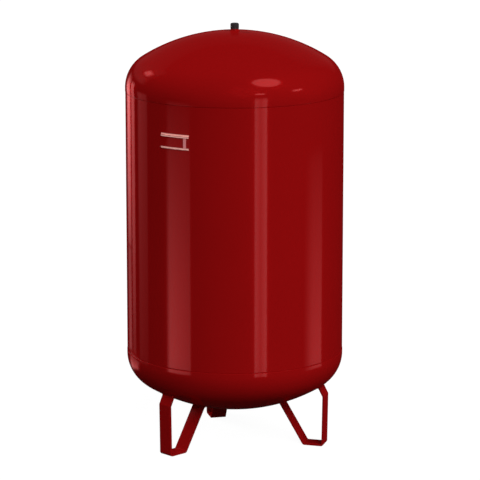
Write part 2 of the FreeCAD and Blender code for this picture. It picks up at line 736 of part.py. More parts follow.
# Diaphragm and the ring that clamps its rim to the shell; heights from the lower seam
def build_diaphragm():
    body = new_body("diaphragm", rise="lower_seam")
    outside = dish_sketch(
        body, "diaphragm_outside",
        "rubber_radius", "straight_flange",
        "knuckle_radius - head_wall - rubber_gap", "crown_radius - head_wall - rubber_gap",
        flipped=True,
    )
    turned(body, "Revolution", outside)
    doc.recompute()
    full = body.Shape.Volume
    inside = dish_sketch(
        body, "diaphragm_inside",
        "rubber_radius - rubber_wall", "straight_flange",
        "knuckle_radius - head_wall - rubber_gap - rubber_wall",
        "crown_radius - head_wall - rubber_gap - rubber_wall",
        flipped=True,
    )
    turned(body, "Groove", inside)
    check_removed(body, full, inside.Name)
    rim = loop_sketch(body, "diaphragm_rim", [
        ("rubber_radius - rubber_wall", "0 - rim_lap"),
        ("rubber_radius", "0 - rim_lap"),
        ("rubber_radius", "rim_foot"),
        ("rim_outer", "rim_foot"),
        ("rim_outer", "rim_top - rim_chamfer"),
        ("rim_outer - rim_chamfer", "rim_top"),
        ("rim_inner + rim_chamfer", "rim_top"),
        ("rim_inner", "rim_top - rim_chamfer"),
        ("rim_inner", "rim_foot"),
        ("rubber_radius - rubber_wall", "rim_foot"),
    ])
    turned(body, "Revolution", rim)


def build_clamp_ring():
    body = new_body("clamp_ring", rise="lower_seam")
    channel = loop_sketch(body, "ring_channel", [
        ("ring_radius - ring_sheet", "ring_rise"),
        ("ring_radius", "ring_rise"),
        ("ring_radius", "rim_top + rim_gap + ring_sheet"),
        ("rim_inner - rim_gap - ring_sheet", "rim_top + rim_gap + ring_sheet"),
        ("rim_inner - rim_gap - ring_sheet", "ring_rise"),
        ("rim_inner - rim_gap", "ring_rise"),
        ("rim_inner - rim_gap", "rim_top + rim_gap"),
        ("ring_radius - ring_sheet", "rim_top + rim_gap"),
    ])
    turned(body, "Revolution", channel)


build_head("upper_head", "upper_seam", "0", "boss_radius + weld_gap")
build_head("lower_head", "lower_seam", "180", "socket_radius + weld_gap")
build_shell()
for leg_name, leg_turn in (("leg_right", "0"), ("leg_rear", "120"), ("leg_front_left", "240")):
    build_leg(leg_name, leg_turn)
build_rail("top_rail", "upper_seam - holder_drop", "-1", "top_rail_height", "top_rail_flange")
build_rail(
    "bottom_rail", "upper_seam - holder_drop - holder_height", "1",
    "low_rail_height", "low_rail_flange",
)
build_end_stop()
build_valve_boss()
build_valve_washer()
build_valve_body()
build_core_barrel()
build_core_gasket()
build_core_pin()
build_core_seal()
build_core_spring()
build_valve_cap()
build_cap_seal()
build_water_socket()
build_port_guard()
build_diaphragm()
build_clamp_ring()

doc.recompute()

# Check every object, then write one file for each sub-part
for item in doc.Objects:
    if "Invalid" in item.State or "Error" in item.State:
        raise ValueError(f"{item.Name} failed: {item.State}")
for part in sub_parts:
    if part.Shape.isNull() or not part.Shape.isValid():
        raise ValueError(f"{part.Label} has no valid shape")

os.makedirs("parts", exist_ok=True)
for part in sub_parts:
    part.Shape.exportStep(f"parts/{part.Label}.step")
    box = part.Shape.BoundBox
    print(
        f"{part.Label:16s} solids {len(part.Shape.Solids)} volume {part.Shape.Volume:12.1f}"
        f" x {box.XMin:8.1f} {box.XMax:8.1f} y {box.YMin:8.1f} {box.YMax:8.1f}"
        f" z {box.ZMin:8.1f} {box.ZMax:8.1f}"
    )
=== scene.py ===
"""Dresses a floor-standing expansion tank, and sets up its studio and camera."""
import logging
import math
from dataclasses import dataclass
from enum import Enum
from typing import Callable, Iterable, Sequence

import bmesh
import bpy
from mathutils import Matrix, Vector


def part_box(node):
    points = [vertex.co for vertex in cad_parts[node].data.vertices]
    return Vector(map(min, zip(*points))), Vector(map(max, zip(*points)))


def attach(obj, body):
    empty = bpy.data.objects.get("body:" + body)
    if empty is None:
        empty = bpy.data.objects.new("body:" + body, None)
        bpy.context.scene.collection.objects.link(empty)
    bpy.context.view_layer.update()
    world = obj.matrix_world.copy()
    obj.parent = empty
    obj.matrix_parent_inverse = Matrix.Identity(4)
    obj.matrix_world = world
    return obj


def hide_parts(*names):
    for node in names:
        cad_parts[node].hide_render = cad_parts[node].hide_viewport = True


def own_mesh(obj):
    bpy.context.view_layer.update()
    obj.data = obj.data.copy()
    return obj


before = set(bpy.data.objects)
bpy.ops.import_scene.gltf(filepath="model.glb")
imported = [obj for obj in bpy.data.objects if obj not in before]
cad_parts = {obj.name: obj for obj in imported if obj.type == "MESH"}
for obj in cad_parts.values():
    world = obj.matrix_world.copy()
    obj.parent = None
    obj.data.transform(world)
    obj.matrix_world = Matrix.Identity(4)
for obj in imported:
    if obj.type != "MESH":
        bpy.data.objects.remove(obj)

Mesh = bmesh.types.BMesh
Colour = tuple[float, float, float]
Axes = tuple[float, float, float]
Span = tuple[float, float]

CAMERA_TURN = 16.6
FULL_TURN = 2 * math.pi
FULL_DEGREES = 360.0
UP = Vector((0, 0, 1))
MERGE = 1e-6
BEAD_SMOOTH = 60.0
WHITE: Colour = (1.0, 1.0, 1.0)

log = logging.getLogger("tank")


class Body(Enum):
    """Bodies that new pieces ride on."""

    VESSEL = "vessel"
    CAP = "cap"


class Slot(Enum):
    """Material slots of the record, handed to new pieces, which do not read them."""

    PAINT = "red_paint"
    BRIGHT = "bright_steel"
    SPRING = "spring_steel"
    BRASS = "brass"
    PLASTIC = "black_plastic"


class Side(Enum):
    """Which way a dished head bulges."""

    UPPER = 1
    LOWER = -1


# Shader arithmetic


class Shade:
    """Output socket that takes part in plain arithmetic."""

    def __init__(self, bench: "NodeBench", socket: bpy.types.NodeSocket | None) -> None:
        """Keep the bench and the socket."""
        self.bench = bench
        self.socket = socket

    def out(self, name: str) -> "Shade":
        """Another output of the same node."""
        return Shade(self.bench, self.socket.node.outputs[name])

    def maths(self, operation: str, *values: "Value") -> "Shade":
        """Math node on the given values."""
        return self.bench.node("ShaderNodeMath", {"operation": operation}, dict(enumerate(values)))

    def __add__(self, other: "Value") -> "Shade":
        """Sum."""
        return self.maths("ADD", self, other)

    def __radd__(self, other: "Value") -> "Shade":
        """Sum with a number in front."""
        return self.maths("ADD", other, self)

    def __sub__(self, other: "Value") -> "Shade":
        """Difference."""
        return self.maths("SUBTRACT", self, other)

    def __rsub__(self, other: "Value") -> "Shade":
        """Difference with a number in front."""
        return self.maths("SUBTRACT", other, self)

    def __mul__(self, other: "Value") -> "Shade":
        """Product."""
        return self.maths("MULTIPLY", self, other)

    def __rmul__(self, other: "Value") -> "Shade":
        """Product with a number in front."""
        return self.maths("MULTIPLY", other, self)

    def __truediv__(self, other: "Value") -> "Shade":
        """Quotient."""
        return self.maths("DIVIDE", self, other)

    def __rtruediv__(self, other: "Value") -> "Shade":
        """Quotient with a number in front."""
        return self.maths("DIVIDE", other, self)

    def __pow__(self, other: "Value") -> "Shade":
        """Power."""
        return self.maths("POWER", self, other)

    def __rpow__(self, other: "Value") -> "Shade":
        """Power of a number in front."""
        return self.maths("POWER", other, self)

    def sine(self) -> "Shade":
        """Sine of an angle in radians."""
        return self.maths("SINE", self)

    def size(self) -> "Shade":
        """Absolute value."""
        return self.maths("ABSOLUTE", self)

    def clamped(self) -> "Shade":
        """Value held between 0 and 1."""
        return self.maths("MINIMUM", self.maths("MAXIMUM", self, 0.0), 1.0)

    def wrapped(self, span: float) -> "Shade":
        """Remainder of the value over a span."""
        return self.maths("MODULO", self, span)

    def turn_from(self, across: "Shade") -> "Shade":
        """Angle of the point (across, self) about the origin, in radians."""
        return self.maths("ARCTAN2", self, across)

    def about(self, play: float) -> "Shade":
        """A noise as a play of that much about 0."""
        return (self - 0.5) * play

    def ramp_up(self, start: float, end: float) -> "Shade":
        """Smooth step from 0 at start to 1 at end.

        Args:
            start: Value at which the step begins.
            end: Value at which it ends.

        Returns:
            The step.
        """
        return self.bench.node(
            "ShaderNodeMapRange",
            {"interpolation_type": "SMOOTHSTEP"},
            {"Value": self, "From Min": start, "From Max": end},
        )

    def window(self, first: float, last: float) -> "Shade":
        """1 from 0 to 1, eased over the first and the last share."""
        return self.ramp_up(0.0, first) * (1.0 - self.ramp_up(1 - last, 1.0))


Value = Shade | float


@dataclass(frozen=True)
class Grain:
    """Noise of a finish: cells to the metre, octaves, and the share that each octave keeps."""

    size: float
    octaves: float = 2.0
    rough: float = 0.5


class NodeBench:
    """Node tree of a material or world, emptied so that a finish is put together on it."""

    def __init__(self, owner: bpy.types.Material | bpy.types.World) -> None:
        """Empty the owner's tree.

        Args:
            owner: Material or world that the nodes are for.
        """
        owner.use_nodes = True
        self.tree = owner.node_tree
        self.tree.nodes.clear()

    def node(
        self,
        kind: str,
        settings: dict[str, object],
        inputs: dict[str | int, object],
        output: str | int = 0,
    ) -> Shade:
        """Add a node, set it up and feed its sockets.

        Args:
            kind: Blender's name for the node type.
            settings: Properties of the node, which are set first.
            inputs: Numbers, colours or links by the name or number of a socket.
            output: Which output is handed back.

        Returns:
            That output, or one without a socket where the node ends the tree.
        """
        node = self.tree.nodes.new(kind)
        for name, value in settings.items():
            setattr(node, name, value)
        for name, value in inputs.items():
            if isinstance(value, Shade):
                self.tree.links.new(value.socket, node.inputs[name])
            else:
                node.inputs[name].default_value = value
        return Shade(self, node.outputs[output] if len(node.outputs) else None)

    def place(self) -> Shade:
        """Object coordinates in metres."""
        return self.node("ShaderNodeTexCoord", {}, {}, "Object")

    def parts(self, vector: Shade) -> tuple[Shade, Shade, Shade]:
        """X, Y and Z of a vector."""
        split = self.node("ShaderNodeSeparateXYZ", {}, {"Vector": vector})
        return split, split.out("Y"), split.out("Z")

    def stretched(self, vector: Shade, scale: Axes) -> Shade:
        """Vector multiplied by a scale along each axis."""
        factors = {0: vector, 1: scale}
        return self.node("ShaderNodeVectorMath", {"operation": "MULTIPLY"}, factors)

    def away_from(self, spot: Vector) -> Shade:
        """Distance from a spot in metres."""
        places = {0: self.place(), 1: tuple(spot)}
        return self.node("ShaderNodeVectorMath", {"operation": "DISTANCE"}, places, "Value")

    def noise(self, place: Shade, grain: Grain) -> Shade:
        """Noise between about 0 and 1.

        Args:
            place: Coordinates to read.
            grain: Size, octaves and roughness.

        Returns:
            The noise's value.
        """
        inputs = {
            "Vector": place,
            "Scale": grain.size,
            "Detail": grain.octaves,
            "Roughness": grain.rough,
        }
        return self.node("ShaderNodeTexNoise", {"noise_dimensions": "3D"}, inputs)

    def blend(self, low: Colour | Shade, high: Colour | Shade, share: Value) -> Shade:
        """Colour between two colours.

        Args:
            low: Colour at a share of 0.
            high: Colour at a share of 1.
            share: Share of the second colour.

        Returns:
            The blended colour.
        """
        ends = [value if isinstance(value, Shade) else (*value, 1) for value in (low, high)]
        inputs = {"Factor": share, 6: ends[0], 7: ends[1]}
        return self.node("ShaderNodeMix", {"data_type": "RGBA"}, inputs, 2)

    def bump(self, height: Shade, depth: float) -> Shade:
        """Normal that follows a height.

        Args:
            height: Height from 0 to 1.
            depth: Metres between heights 0 and 1.

        Returns:
            The bent normal.
        """
        inputs = {"Height": height, "Distance": depth, "Strength": 1.0}
        return self.node("ShaderNodeBump", {}, inputs)

    def glow(self, colour: Colour, strength: Value) -> Shade:
        """Light of a colour and strength."""
        return self.node("ShaderNodeEmission", {}, {"Color": (*colour, 1), "Strength": strength})

    def seen(self) -> Shade:
        """1 for camera, glossy and transmission rays."""
        path = self.node("ShaderNodeLightPath", {}, {}, "Is Camera Ray")
        return (path + path.out("Is Glossy Ray") + path.out("Is Transmission Ray")).clamped()


def material_made(name: str, shader: Callable[[NodeBench], Shade]) -> bpy.types.Material:
    """Material with a shader, made at its first use.

    Args:
        name: Name of the material.
        shader: Puts the shader together on a bench.

    Returns:
        The material.
    """
    if name in bpy.data.materials:
        return bpy.data.materials[name]
    made = bpy.data.materials.new(name)
    bench = NodeBench(made)
    bench.node("ShaderNodeOutputMaterial", {}, {"Surface": shader(bench)})
    return made


# Finishes


def darker(colour: Colour, share: float) -> Colour:
    """Colour multiplied by a share."""
    return tuple(channel * share for channel in colour)


@dataclass(frozen=True)
class Finish:
    """Surface finish that makes one material. No material of the frame has its name."""

    name: str

    def surface(self, bench: NodeBench) -> dict[str | int, object]:
        """Values and links for the shader's sockets."""
        raise NotImplementedError

    def shader(self, bench: NodeBench) -> Shade:
        """Shader with the finish's values and links."""
        return bench.node("ShaderNodeBsdfPrincipled", {}, self.surface(bench))

    def material(self) -> bpy.types.Material:
        """Material with this finish."""
        return material_made(self.name, self.shader)


@dataclass(frozen=True)
class GlossPaint(Finish):
    """Glossy red enamel with a faint orange peel and slow changes of film thickness."""

    colour: Colour = (0.28, 0.0034, 0.0038)
    thin_film: float = 0.93
    metal: float = 0.27
    edge_tint: Colour = (1.0, 0.4, 0.4)
    gloss: float = 0.15
    lacquer: float = 0.07
    lacquer_ior: float = 2.2
    lacquer_gloss: float = 0.05
    peel: Grain = Grain(420.0, 1.0)
    peel_depth: float = 0.00002
    sags: Grain = Grain(3.0, 3.0)
    sag_play: float = 0.04
    dust: Grain = Grain(60.0, 4.0, 0.6)
    dust_play: float = 0.05

    def relief(self, bench: NodeBench, place: Shade) -> Shade:
        """Normal over the orange peel."""
        return bench.bump(bench.noise(place, self.peel), self.peel_depth)

    def surface(self, bench: NodeBench) -> dict[str | int, object]:
        """Values and links for the shader's sockets.

        Args:
            bench: Where the nodes go.

        Returns:
            Value or link by the name of its socket.
        """
        place = bench.place()
        film = bench.noise(place, self.sags)
        dust = bench.noise(place, self.dust)
        return {
            "Base Color": bench.blend(darker(self.colour, self.thin_film), self.colour, film),
            "Roughness": self.gloss + film.about(self.sag_play) + dust.about(self.dust_play),
            "Metallic": self.metal,
            "Specular IOR Level": 0.0,
            "Specular Tint": (*self.edge_tint, 1),
            "Coat Weight": self.lacquer,
            "Coat IOR": self.lacquer_ior,
            "Coat Roughness": self.lacquer_gloss,
            "Normal": self.relief(bench, place),
        }


@dataclass(frozen=True)
class StripPaint(GlossPaint):
    """Enamel over hot-rolled strip, whose scale pits show through the film."""

    gloss: float = 0.22
    pits: Grain = Grain(90.0, 5.0, 0.65)
    pit_edge: Span = (0.42, 0.7)
    pit_share: float = 0.6
    pit_depth: float = 0.00008

    def relief(self, bench: NodeBench, place: Shade) -> Shade:
        """Normal over scale pits and orange peel.

        Args:
            bench: Where the nodes go.
            place: Coordinates to read.

        Returns:
            The bent normal.
        """
        pits = bench.noise(place, self.pits).ramp_up(*self.pit_edge)
        peel = bench.noise(place, self.peel)
        return bench.bump(pits * self.pit_share + peel * (1 - self.pit_share), self.pit_depth)


@dataclass(frozen=True)
class BeadPaint(GlossPaint):
    """Enamel over a weld bead, rough with fine spatter."""

    gloss: float = 0.2
    spatter: Grain = Grain(700.0, 3.0, 0.7)
    spatter_depth: float = 0.00015

    def relief(self, bench: NodeBench, place: Shade) -> Shade:
        """Normal over the spatter."""
        return bench.bump(bench.noise(place, self.spatter), self.spatter_depth)


@dataclass(frozen=True)
class RolledSteel(Finish):
    """Bright sheet with fine drag lines, and dark red lines at some heights that are painted shade
    in the rails' step corners and along their edges.
    """

    colour: Colour = (0.97, 0.50, 0.43)
    shaded: Colour = (0.88, 0.38, 0.34)
    metal: float = 0.1
    gloss: float = 0.36
    drag_scale: Axes = (60.0, 60.0, 5200.0)
    drag: Grain = Grain(1.0, 3.0)
    drag_play: float = 0.1
    drag_depth: float = 0.00001
    bloom: Grain = Grain(45.0, 4.0, 0.6)
    bloom_play: float = 0.16
    # Painted shade: a dark red line at each listed height stands in for the shadow in a rail's step
    # corner or along its edge.
    painted_shade: Colour = (0.30, 0.03, 0.03)
    painted_shade_heights: tuple[float, ...] = ()
    painted_shade_edge: Span = (0.00045, 0.00135)
    painted_shade_wander: float = 0.0008
    painted_shade_cover: float = 0.9

    def surface(self, bench: NodeBench) -> dict[str | int, object]:
        """Values and links for the shader's sockets.

        Args:
            bench: Where the nodes go.

        Returns:
            Value or link by the name of its socket.
        """
        place = bench.place()
        lines = bench.noise(bench.stretched(place, self.drag_scale), self.drag)
        bloom = bench.noise(place, self.bloom)
        sheet = bench.blend(self.shaded, self.colour, (bloom + lines) * 0.5)
        height = bench.parts(place)[2] + bloom.about(self.painted_shade_wander)
        # Painted shade: darken the sheet towards the line colour near each listed height.
        for line in self.painted_shade_heights:
            paint = 1.0 - (height - line).size().ramp_up(*self.painted_shade_edge)
            sheet = bench.blend(sheet, self.painted_shade, paint * self.painted_shade_cover)
        return {
            "Base Color": sheet,
            "Metallic": self.metal,
            "Roughness": self.gloss + bloom.about(self.bloom_play) + lines.about(self.drag_play),
            "Normal": bench.bump(lines, self.drag_depth),
        }


@dataclass(frozen=True)
class MouldedPlastic(Finish):
    """Moulded plastic with a fine eroded grain and slightly polished high spots."""

    colour: Colour = (0.02, 0.018, 0.019)
    worn: Colour = (0.035, 0.032, 0.032)
    gloss: float = 0.42
    grain: Grain = Grain(2600.0)
    grain_dulls: float = 0.08
    grain_depth: float = 0.00002
    wear: Grain = Grain(260.0, 4.0, 0.6)
    wear_edge: Span = (0.45, 0.75)
    wear_polish: float = 0.08

    def surface(self, bench: NodeBench) -> dict[str | int, object]:
        """Values and links for the shader's sockets.

        Args:
            bench: Where the nodes go.

        Returns:
            Value or link by the name of its socket.
        """
        place = bench.place()
        grain = bench.noise(place, self.grain)
        wear = bench.noise(place, self.wear).ramp_up(*self.wear_edge)
        return {
            "Base Color": bench.blend(self.colour, self.worn, wear),
            "Roughness": self.gloss + grain * self.grain_dulls - wear * self.wear_polish,
            "Normal": bench.bump(grain, self.grain_depth),
        }


@dataclass(frozen=True)
class TurnedMetal(Finish):
    """Machined metal with tool marks that run round the tank's axis."""

    colour: Colour = (0.80, 0.58, 0.27)
    tarnish: Colour = (0.52, 0.34, 0.15)
    metal: float = 1.0
    gloss: float = 0.26
    tool_pitch: float = 0.00018
    tool_dulls: float = 0.04
    tool_depth: float = 0.000004
    stain: Grain = Grain(220.0, 4.0, 0.6)
    stain_edge: Span = (0.4, 0.8)
    stain_cover: float = 0.6
    stain_dulls: float = 0.2

    def surface(self, bench: NodeBench) -> dict[str | int, object]:
        """Values and links for the shader's sockets.

        Args:
            bench: Where the nodes go.

        Returns:
            Value or link by the name of its socket.
        """
        place = bench.place()
        across, deep, height = bench.parts(place)
        radius = (across * across + deep * deep) ** 0.5
        marks = ((radius + height) * (FULL_TURN / self.tool_pitch)).sine() * 0.5 + 0.5
        stain = bench.noise(place, self.stain).ramp_up(*self.stain_edge)
        return {
            "Base Color": bench.blend(self.colour, self.tarnish, stain * self.stain_cover),
            "Metallic": self.metal,
            "Roughness": self.gloss + stain * self.stain_dulls + marks * self.tool_dulls,
            "Normal": bench.bump(marks, self.tool_depth),
        }


@dataclass(frozen=True)
class MattSoft(Finish):
    """Rubber, fibre or gasket stock: matt, speckled and slightly grainy."""

    colour: Colour = (0.03, 0.03, 0.03)
    speck: Colour = (0.06, 0.058, 0.055)
    gloss: float = 0.7
    grain: Grain = Grain(900.0, 4.0, 0.65)
    grain_share: float = 0.6
    grain_play: float = 0.2
    grain_depth: float = 0.00006
    bloom: Grain = Grain(25.0, 3.0)
    bloom_edge: Span = (0.4, 0.7)

    def surface(self, bench: NodeBench) -> dict[str | int, object]:
        """Values and links for the shader's sockets.

        Args:
            bench: Where the nodes go.

        Returns:
            Value or link by the name of its socket.
        """
        place = bench.place()
        grain = bench.noise(place, self.grain)
        bloom = bench.noise(place, self.bloom).ramp_up(*self.bloom_edge)
        specks = grain * self.grain_share + bloom * (1 - self.grain_share)
        return {
            "Base Color": bench.blend(self.colour, self.speck, specks),
            "Roughness": self.gloss + grain.about(self.grain_play),
            "Normal": bench.bump(grain, self.grain_depth),
        }


SHELL_PAINT = GlossPaint("gloss_paint")
LEG_PAINT = StripPaint("strip_paint")
BEAD_PAINT = BeadPaint("bead_paint")
# Painted shade: the seam bead's colour is the shell paint's darkened to 0.7, so that the groove
# reads as a dark line.
SEAM_PAINT_SHADED = BeadPaint("seam_paint_shaded", darker(GlossPaint.colour, 0.7), metal=0.05, lacquer=0.0)
# Painted shade lines: the first two heights fall in the top rail's step corner and along its upper
# edge, the third on the bottom rail.
RAIL_STEEL = RolledSteel("rail_steel", painted_shade_heights=(1.1901, 1.1966, 1.1499))
STOP_STEEL = RolledSteel("stop_steel", (0.68, 0.24, 0.24), (0.55, 0.16, 0.17))
INNER_STEEL = RolledSteel(
    "galvanised_steel", (0.6, 0.6, 0.6), (0.42, 0.43, 0.44), metal=0.9, gloss=0.4
)
CAP_PLASTIC = MouldedPlastic("cap_plastic")
BRASS = TurnedMetal("turned_brass")
SPRING_STEEL = TurnedMetal("spring_wire", (0.6, 0.6, 0.62), (0.4, 0.4, 0.42), gloss=0.22)
RUBBER = MattSoft("soft_rubber")
FIBRE = MattSoft("sealing_fibre", (0.42, 0.13, 0.09), (0.5, 0.22, 0.16), gloss=0.8)
GASKET = MattSoft(
    "gasket_stock", (0.78, 0.23, 0.18), (0.85, 0.34, 0.28), 0.5, Grain(1500.0, 4.0, 0.65)
)


# Workshop


def off_axis(point: Vector) -> float:
    """Distance of a point from the tank's axis."""
    return math.hypot(point.x, point.y)


def bearing(point: Vector) -> float:
    """Angle of a point about the tank's axis, in radians."""
    return math.atan2(point.y, point.x)


def spread(vert: bmesh.types.BMVert, share: float) -> None:
    """Multiply a vertex's distance from the tank's axis by a share."""
    vert.co.x *= share
    vert.co.y *= share


def tidy(mesh: Mesh) -> None:
    """Merge doubles and point the faces outwards."""
    bmesh.ops.remove_doubles(mesh, verts=mesh.verts, dist=MERGE)
    bmesh.ops.recalc_face_normals(mesh, faces=mesh.faces)


class Turning:
    """Half section that grows point by point and is then spun about the tank's axis."""

    def __init__(self, across: float, height: float) -> None:
        """Start the section at a radius and a height."""
        self.mesh = bmesh.new()
        self.first = self.last = self.mesh.verts.new((across, 0, height))

    def through(self, *points: Span) -> "Turning":
        """Straight runs through points.

        Args:
            points: Radius and height of each point.

        Returns:
            The same section.
        """
        for across, height in points:
            grown = bmesh.ops.extrude_vert_indiv(self.mesh, verts=[self.last])
            self.last = grown["verts"][0]
            self.last.co = (across, 0, height)
        return self

    def arc(self, across: float, height: float, angle: float, steps: int) -> "Turning":
        """Arc about a centre.

        Args:
            across: Radius at which the centre stands.
            height: Height of the centre.
            angle: Radians, positive from the outside upwards.
            steps: Runs that the arc is made of.

        Returns:
            The same section.
        """
        made = bmesh.ops.spin(
            self.mesh,
            geom=[self.last],
            cent=(across, 0, height),
            axis=(0, -1, 0),
            angle=angle,
            steps=steps,
        )
        self.last = made["geom_last"][0]
        return self

    def closed(self) -> "Turning":
        """Join the last point to the first."""
        self.mesh.edges.new((self.last, self.first))
        return self

    def spun(self, steps: int, sectors: int = 16) -> Mesh:
        """Spin the section once round: one sector first, then its copies.

        Args:
            steps: Steps of the full turn.
            sectors: Equal sectors that the turn is made of.

        Returns:
            The closed surface, with faces that point outwards.
        """
        bmesh.ops.spin(
            self.mesh,
            geom=self.mesh.verts[:] + self.mesh.edges[:],
            axis=UP,
            angle=FULL_TURN / sectors,
            steps=steps // sectors,
        )
        bmesh.ops.spin(
            self.mesh,
            geom=self.mesh.verts[:] + self.mesh.edges[:] + self.mesh.faces[:],
            axis=UP,
            angle=FULL_TURN,
            steps=sectors,
            use_duplicate=True,
        )
        tidy(self.mesh)
        return self.mesh

    def screwed(self, pitch: float, turns: float, steps: int = 48) -> Mesh:
        """Spin the closed section along a right-handed helix.

        Args:
            pitch: Rise for each turn, in metres.
            turns: Turns of the helix.
            steps: Steps for each turn.

        Returns:
            The thread's ridge, closed at both ends.
        """
        count = round(turns * steps)
        end = bmesh.ops.contextual_create(self.mesh, geom=self.mesh.edges[:])["faces"]
        bmesh.ops.spin(
            self.mesh,
            geom=end,
            axis=UP,
            angle=FULL_TURN * turns,
            dvec=UP * (pitch * turns / count),
            steps=count,
        )
        tidy(self.mesh)
        return self.mesh


@dataclass(frozen=True)
class Thread:
    """Right-handed screw thread: a ridge that stands between root and crest."""

    root: float
    crest: float
    pitch: float
    foot: float
    top: float
    sink: float = 0.00005
    flank: float = 0.75

    def ridge(self) -> Mesh:
        """Ridge from the foot's height to the top's.

        Returns:
            The ridge, closed at both ends.
        """
        sunk = self.root + math.copysign(self.sink, self.root - self.crest)
        half = self.pitch / 2
        section = Turning(sunk, self.foot).through(
            (self.crest, self.foot + half * self.flank),
            (self.crest, self.foot + half),
            (sunk, self.foot + half * (1 + self.flank)),
        )
        turns = (self.top - self.foot - self.pitch) / self.pitch
        return section.closed().screwed(self.pitch, turns)


@dataclass(frozen=True)
class Rounding:
    """Rounding of every edge between faces that stand at more than an angle in degrees."""

    width: float
    angle: float
    segments: int

    def ease(self, mesh: Mesh) -> None:
        """Round the sharp edges of a mesh.

        Args:
            mesh: Mesh to work on.
        """
        sharp = [
            edge for edge in mesh.edges
            if edge.is_manifold and math.degrees(edge.calc_face_angle(0.0)) > self.angle
        ]
        bmesh.ops.bevel(
            mesh,
            geom=sharp,
            offset=self.width,
            offset_type="OFFSET",
            segments=self.segments,
            profile=0.5,
            affect="EDGES",
            clamp_overlap=True,
            material=-1,
        )


def rippled(mesh: Mesh, count: int, depth: float) -> Mesh:
    """Draw a round bead's surface in by ripples about the tank's axis.

    Args:
        mesh: Bead to work on.
        count: Ripples of the full turn.
        depth: Depth of a ripple in metres.

    Returns:
        The same bead.
    """
    for vert in mesh.verts:
        wave = math.cos(bearing(vert.co) * count)
        spread(vert, 1 + depth * (wave - 1) / 2 / off_axis(vert.co))
    return mesh


@dataclass(frozen=True)
class Bead:
    """Section of a long weld bead: an arc by its half width and rise."""

    half: float
    rise: float
    steps: int

    def depth(self) -> float:
        """Depth of the arc's centre under the bead's foot."""
        return (self.half**2 - self.rise**2) / (2 * self.rise)

    def sweep(self) -> float:
        """Angle of the arc in radians."""
        return 2 * math.asin(self.half / (self.depth() + self.rise))


@dataclass(frozen=True)
class Fillet:
    """Rippled fillet weld round a turned part that stands in a head's crown.

    The leg and the bulge's shares of it give the section, and toe and root lie
    inside the head.
    """

    radius: float
    height: float
    leg: float
    toe: float
    side: Side
    ripples: int
    bulge: tuple[Span, ...] = ((0.25, 0.62), (0.62, 0.24))
    heel: float = 0.7
    root: float = 0.0018
    sink: float = 0.0008
    ripple_depth: float = 0.00022
    ripple_steps: int = 4
    sectors: int = 24

    def bead(self) -> Mesh:
        """Bead round the part.

        Returns:
            The closed bead, at its height.
        """
        inner = self.radius - self.sink
        profile = [
            (inner, self.leg),
            *((self.radius + self.leg * out, self.leg * up) for out, up in self.bulge),
            (self.radius + self.leg, -self.toe),
            (self.radius + self.leg * self.heel, -self.root),
            (inner, -self.root),
        ]
        start, *rest = [(out, self.height + up * self.side.value) for out, up in profile]
        section = Turning(*start).through(*rest).closed()
        mesh = section.spun(self.ripples * self.ripple_steps, self.sectors)
        return rippled(mesh, self.ripples, self.ripple_depth)


def joined(meshes: Iterable[Mesh]) -> Mesh:
    """One mesh that holds several.

    Args:
        meshes: The meshes. They are freed.

    Returns:
        The whole.
    """
    whole = bmesh.new()
    for mesh in meshes:
        carrier = bpy.data.meshes.new("carrier")
        mesh.to_mesh(carrier)
        mesh.free()
        whole.from_mesh(carrier)
        bpy.data.meshes.remove(carrier)
    return whole


def node_copy(node: str) -> Mesh:
    """Merged copy of a CAD node's mesh, with its flat faces whole.

    Args:
        node: Name of the CAD node.

    Returns:
        The copy.
    """
    mesh = bmesh.new()
    mesh.from_mesh(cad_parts[node].data)
    bmesh.ops.remove_doubles(mesh, verts=mesh.verts, dist=MERGE * 10)
    bmesh.ops.dissolve_limit(
        mesh, angle_limit=math.radians(1), verts=mesh.verts, edges=mesh.edges
    )
    return mesh


def placed(name: str, mesh: Mesh, material: bpy.types.Material) -> bpy.types.Object:
    """Object at the origin, with its place in its mesh.

    Args:
        name: Its name.
        mesh: Its shape, in the tank's frame. It is freed.
        material: Its material.

    Returns:
        The object.
    """
    data = bpy.data.meshes.new(name)
    mesh.to_mesh(data)
    mesh.free()
    data.materials.append(material)
    made = bpy.data.objects.new(name, data)
    bpy.context.scene.collection.objects.link(made)
    return made


def finished(
    name: str,
    mesh: Mesh,
    finish: Finish,
    nodes: Sequence[str] = (),
    body: Body = Body.VESSEL,
    slot: Slot = Slot.PAINT,
    smooth: float = 35.0,
) -> bpy.types.Object:
    """Make a piece of the tank from a mesh.

    Args:
        name: Name of the piece.
        mesh: Its shape, in the tank's frame. It is freed.
        finish: Its finish.
        nodes: CAD nodes that it stands for.
        body: Body that it rides on.
        slot: Slot of the record that it would take its finish from. Not used.
        smooth: Degrees under which an edge is shaded smooth.

    Returns:
        The piece.
    """
    piece = placed(name, mesh, finish.material())
    piece.data.shade_smooth()
    piece.data.set_sharp_from_angle(angle=math.radians(smooth))
    piece.modifiers.new("flat_faces_first", "WEIGHTED_NORMAL").keep_sharp = True
    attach(piece, body.value)
    if nodes:
        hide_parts(*nodes)
    log.info("%s: %d faces, %s", name, len(piece.data.polygons), finish.name)
    return piece


def dressed(nodes: Iterable[str], finish: Finish) -> None:
    """Give CAD nodes whose shape is right a finish.

    Args:
        nodes: Names of the nodes.
        finish: Their finish.
    """
    for node in nodes:
        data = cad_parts[node].data
        data.materials.clear()
        data.materials.append(finish.material())
        log.info("%s: CAD shape, %s", node, finish.name)


# Sub-assemblies


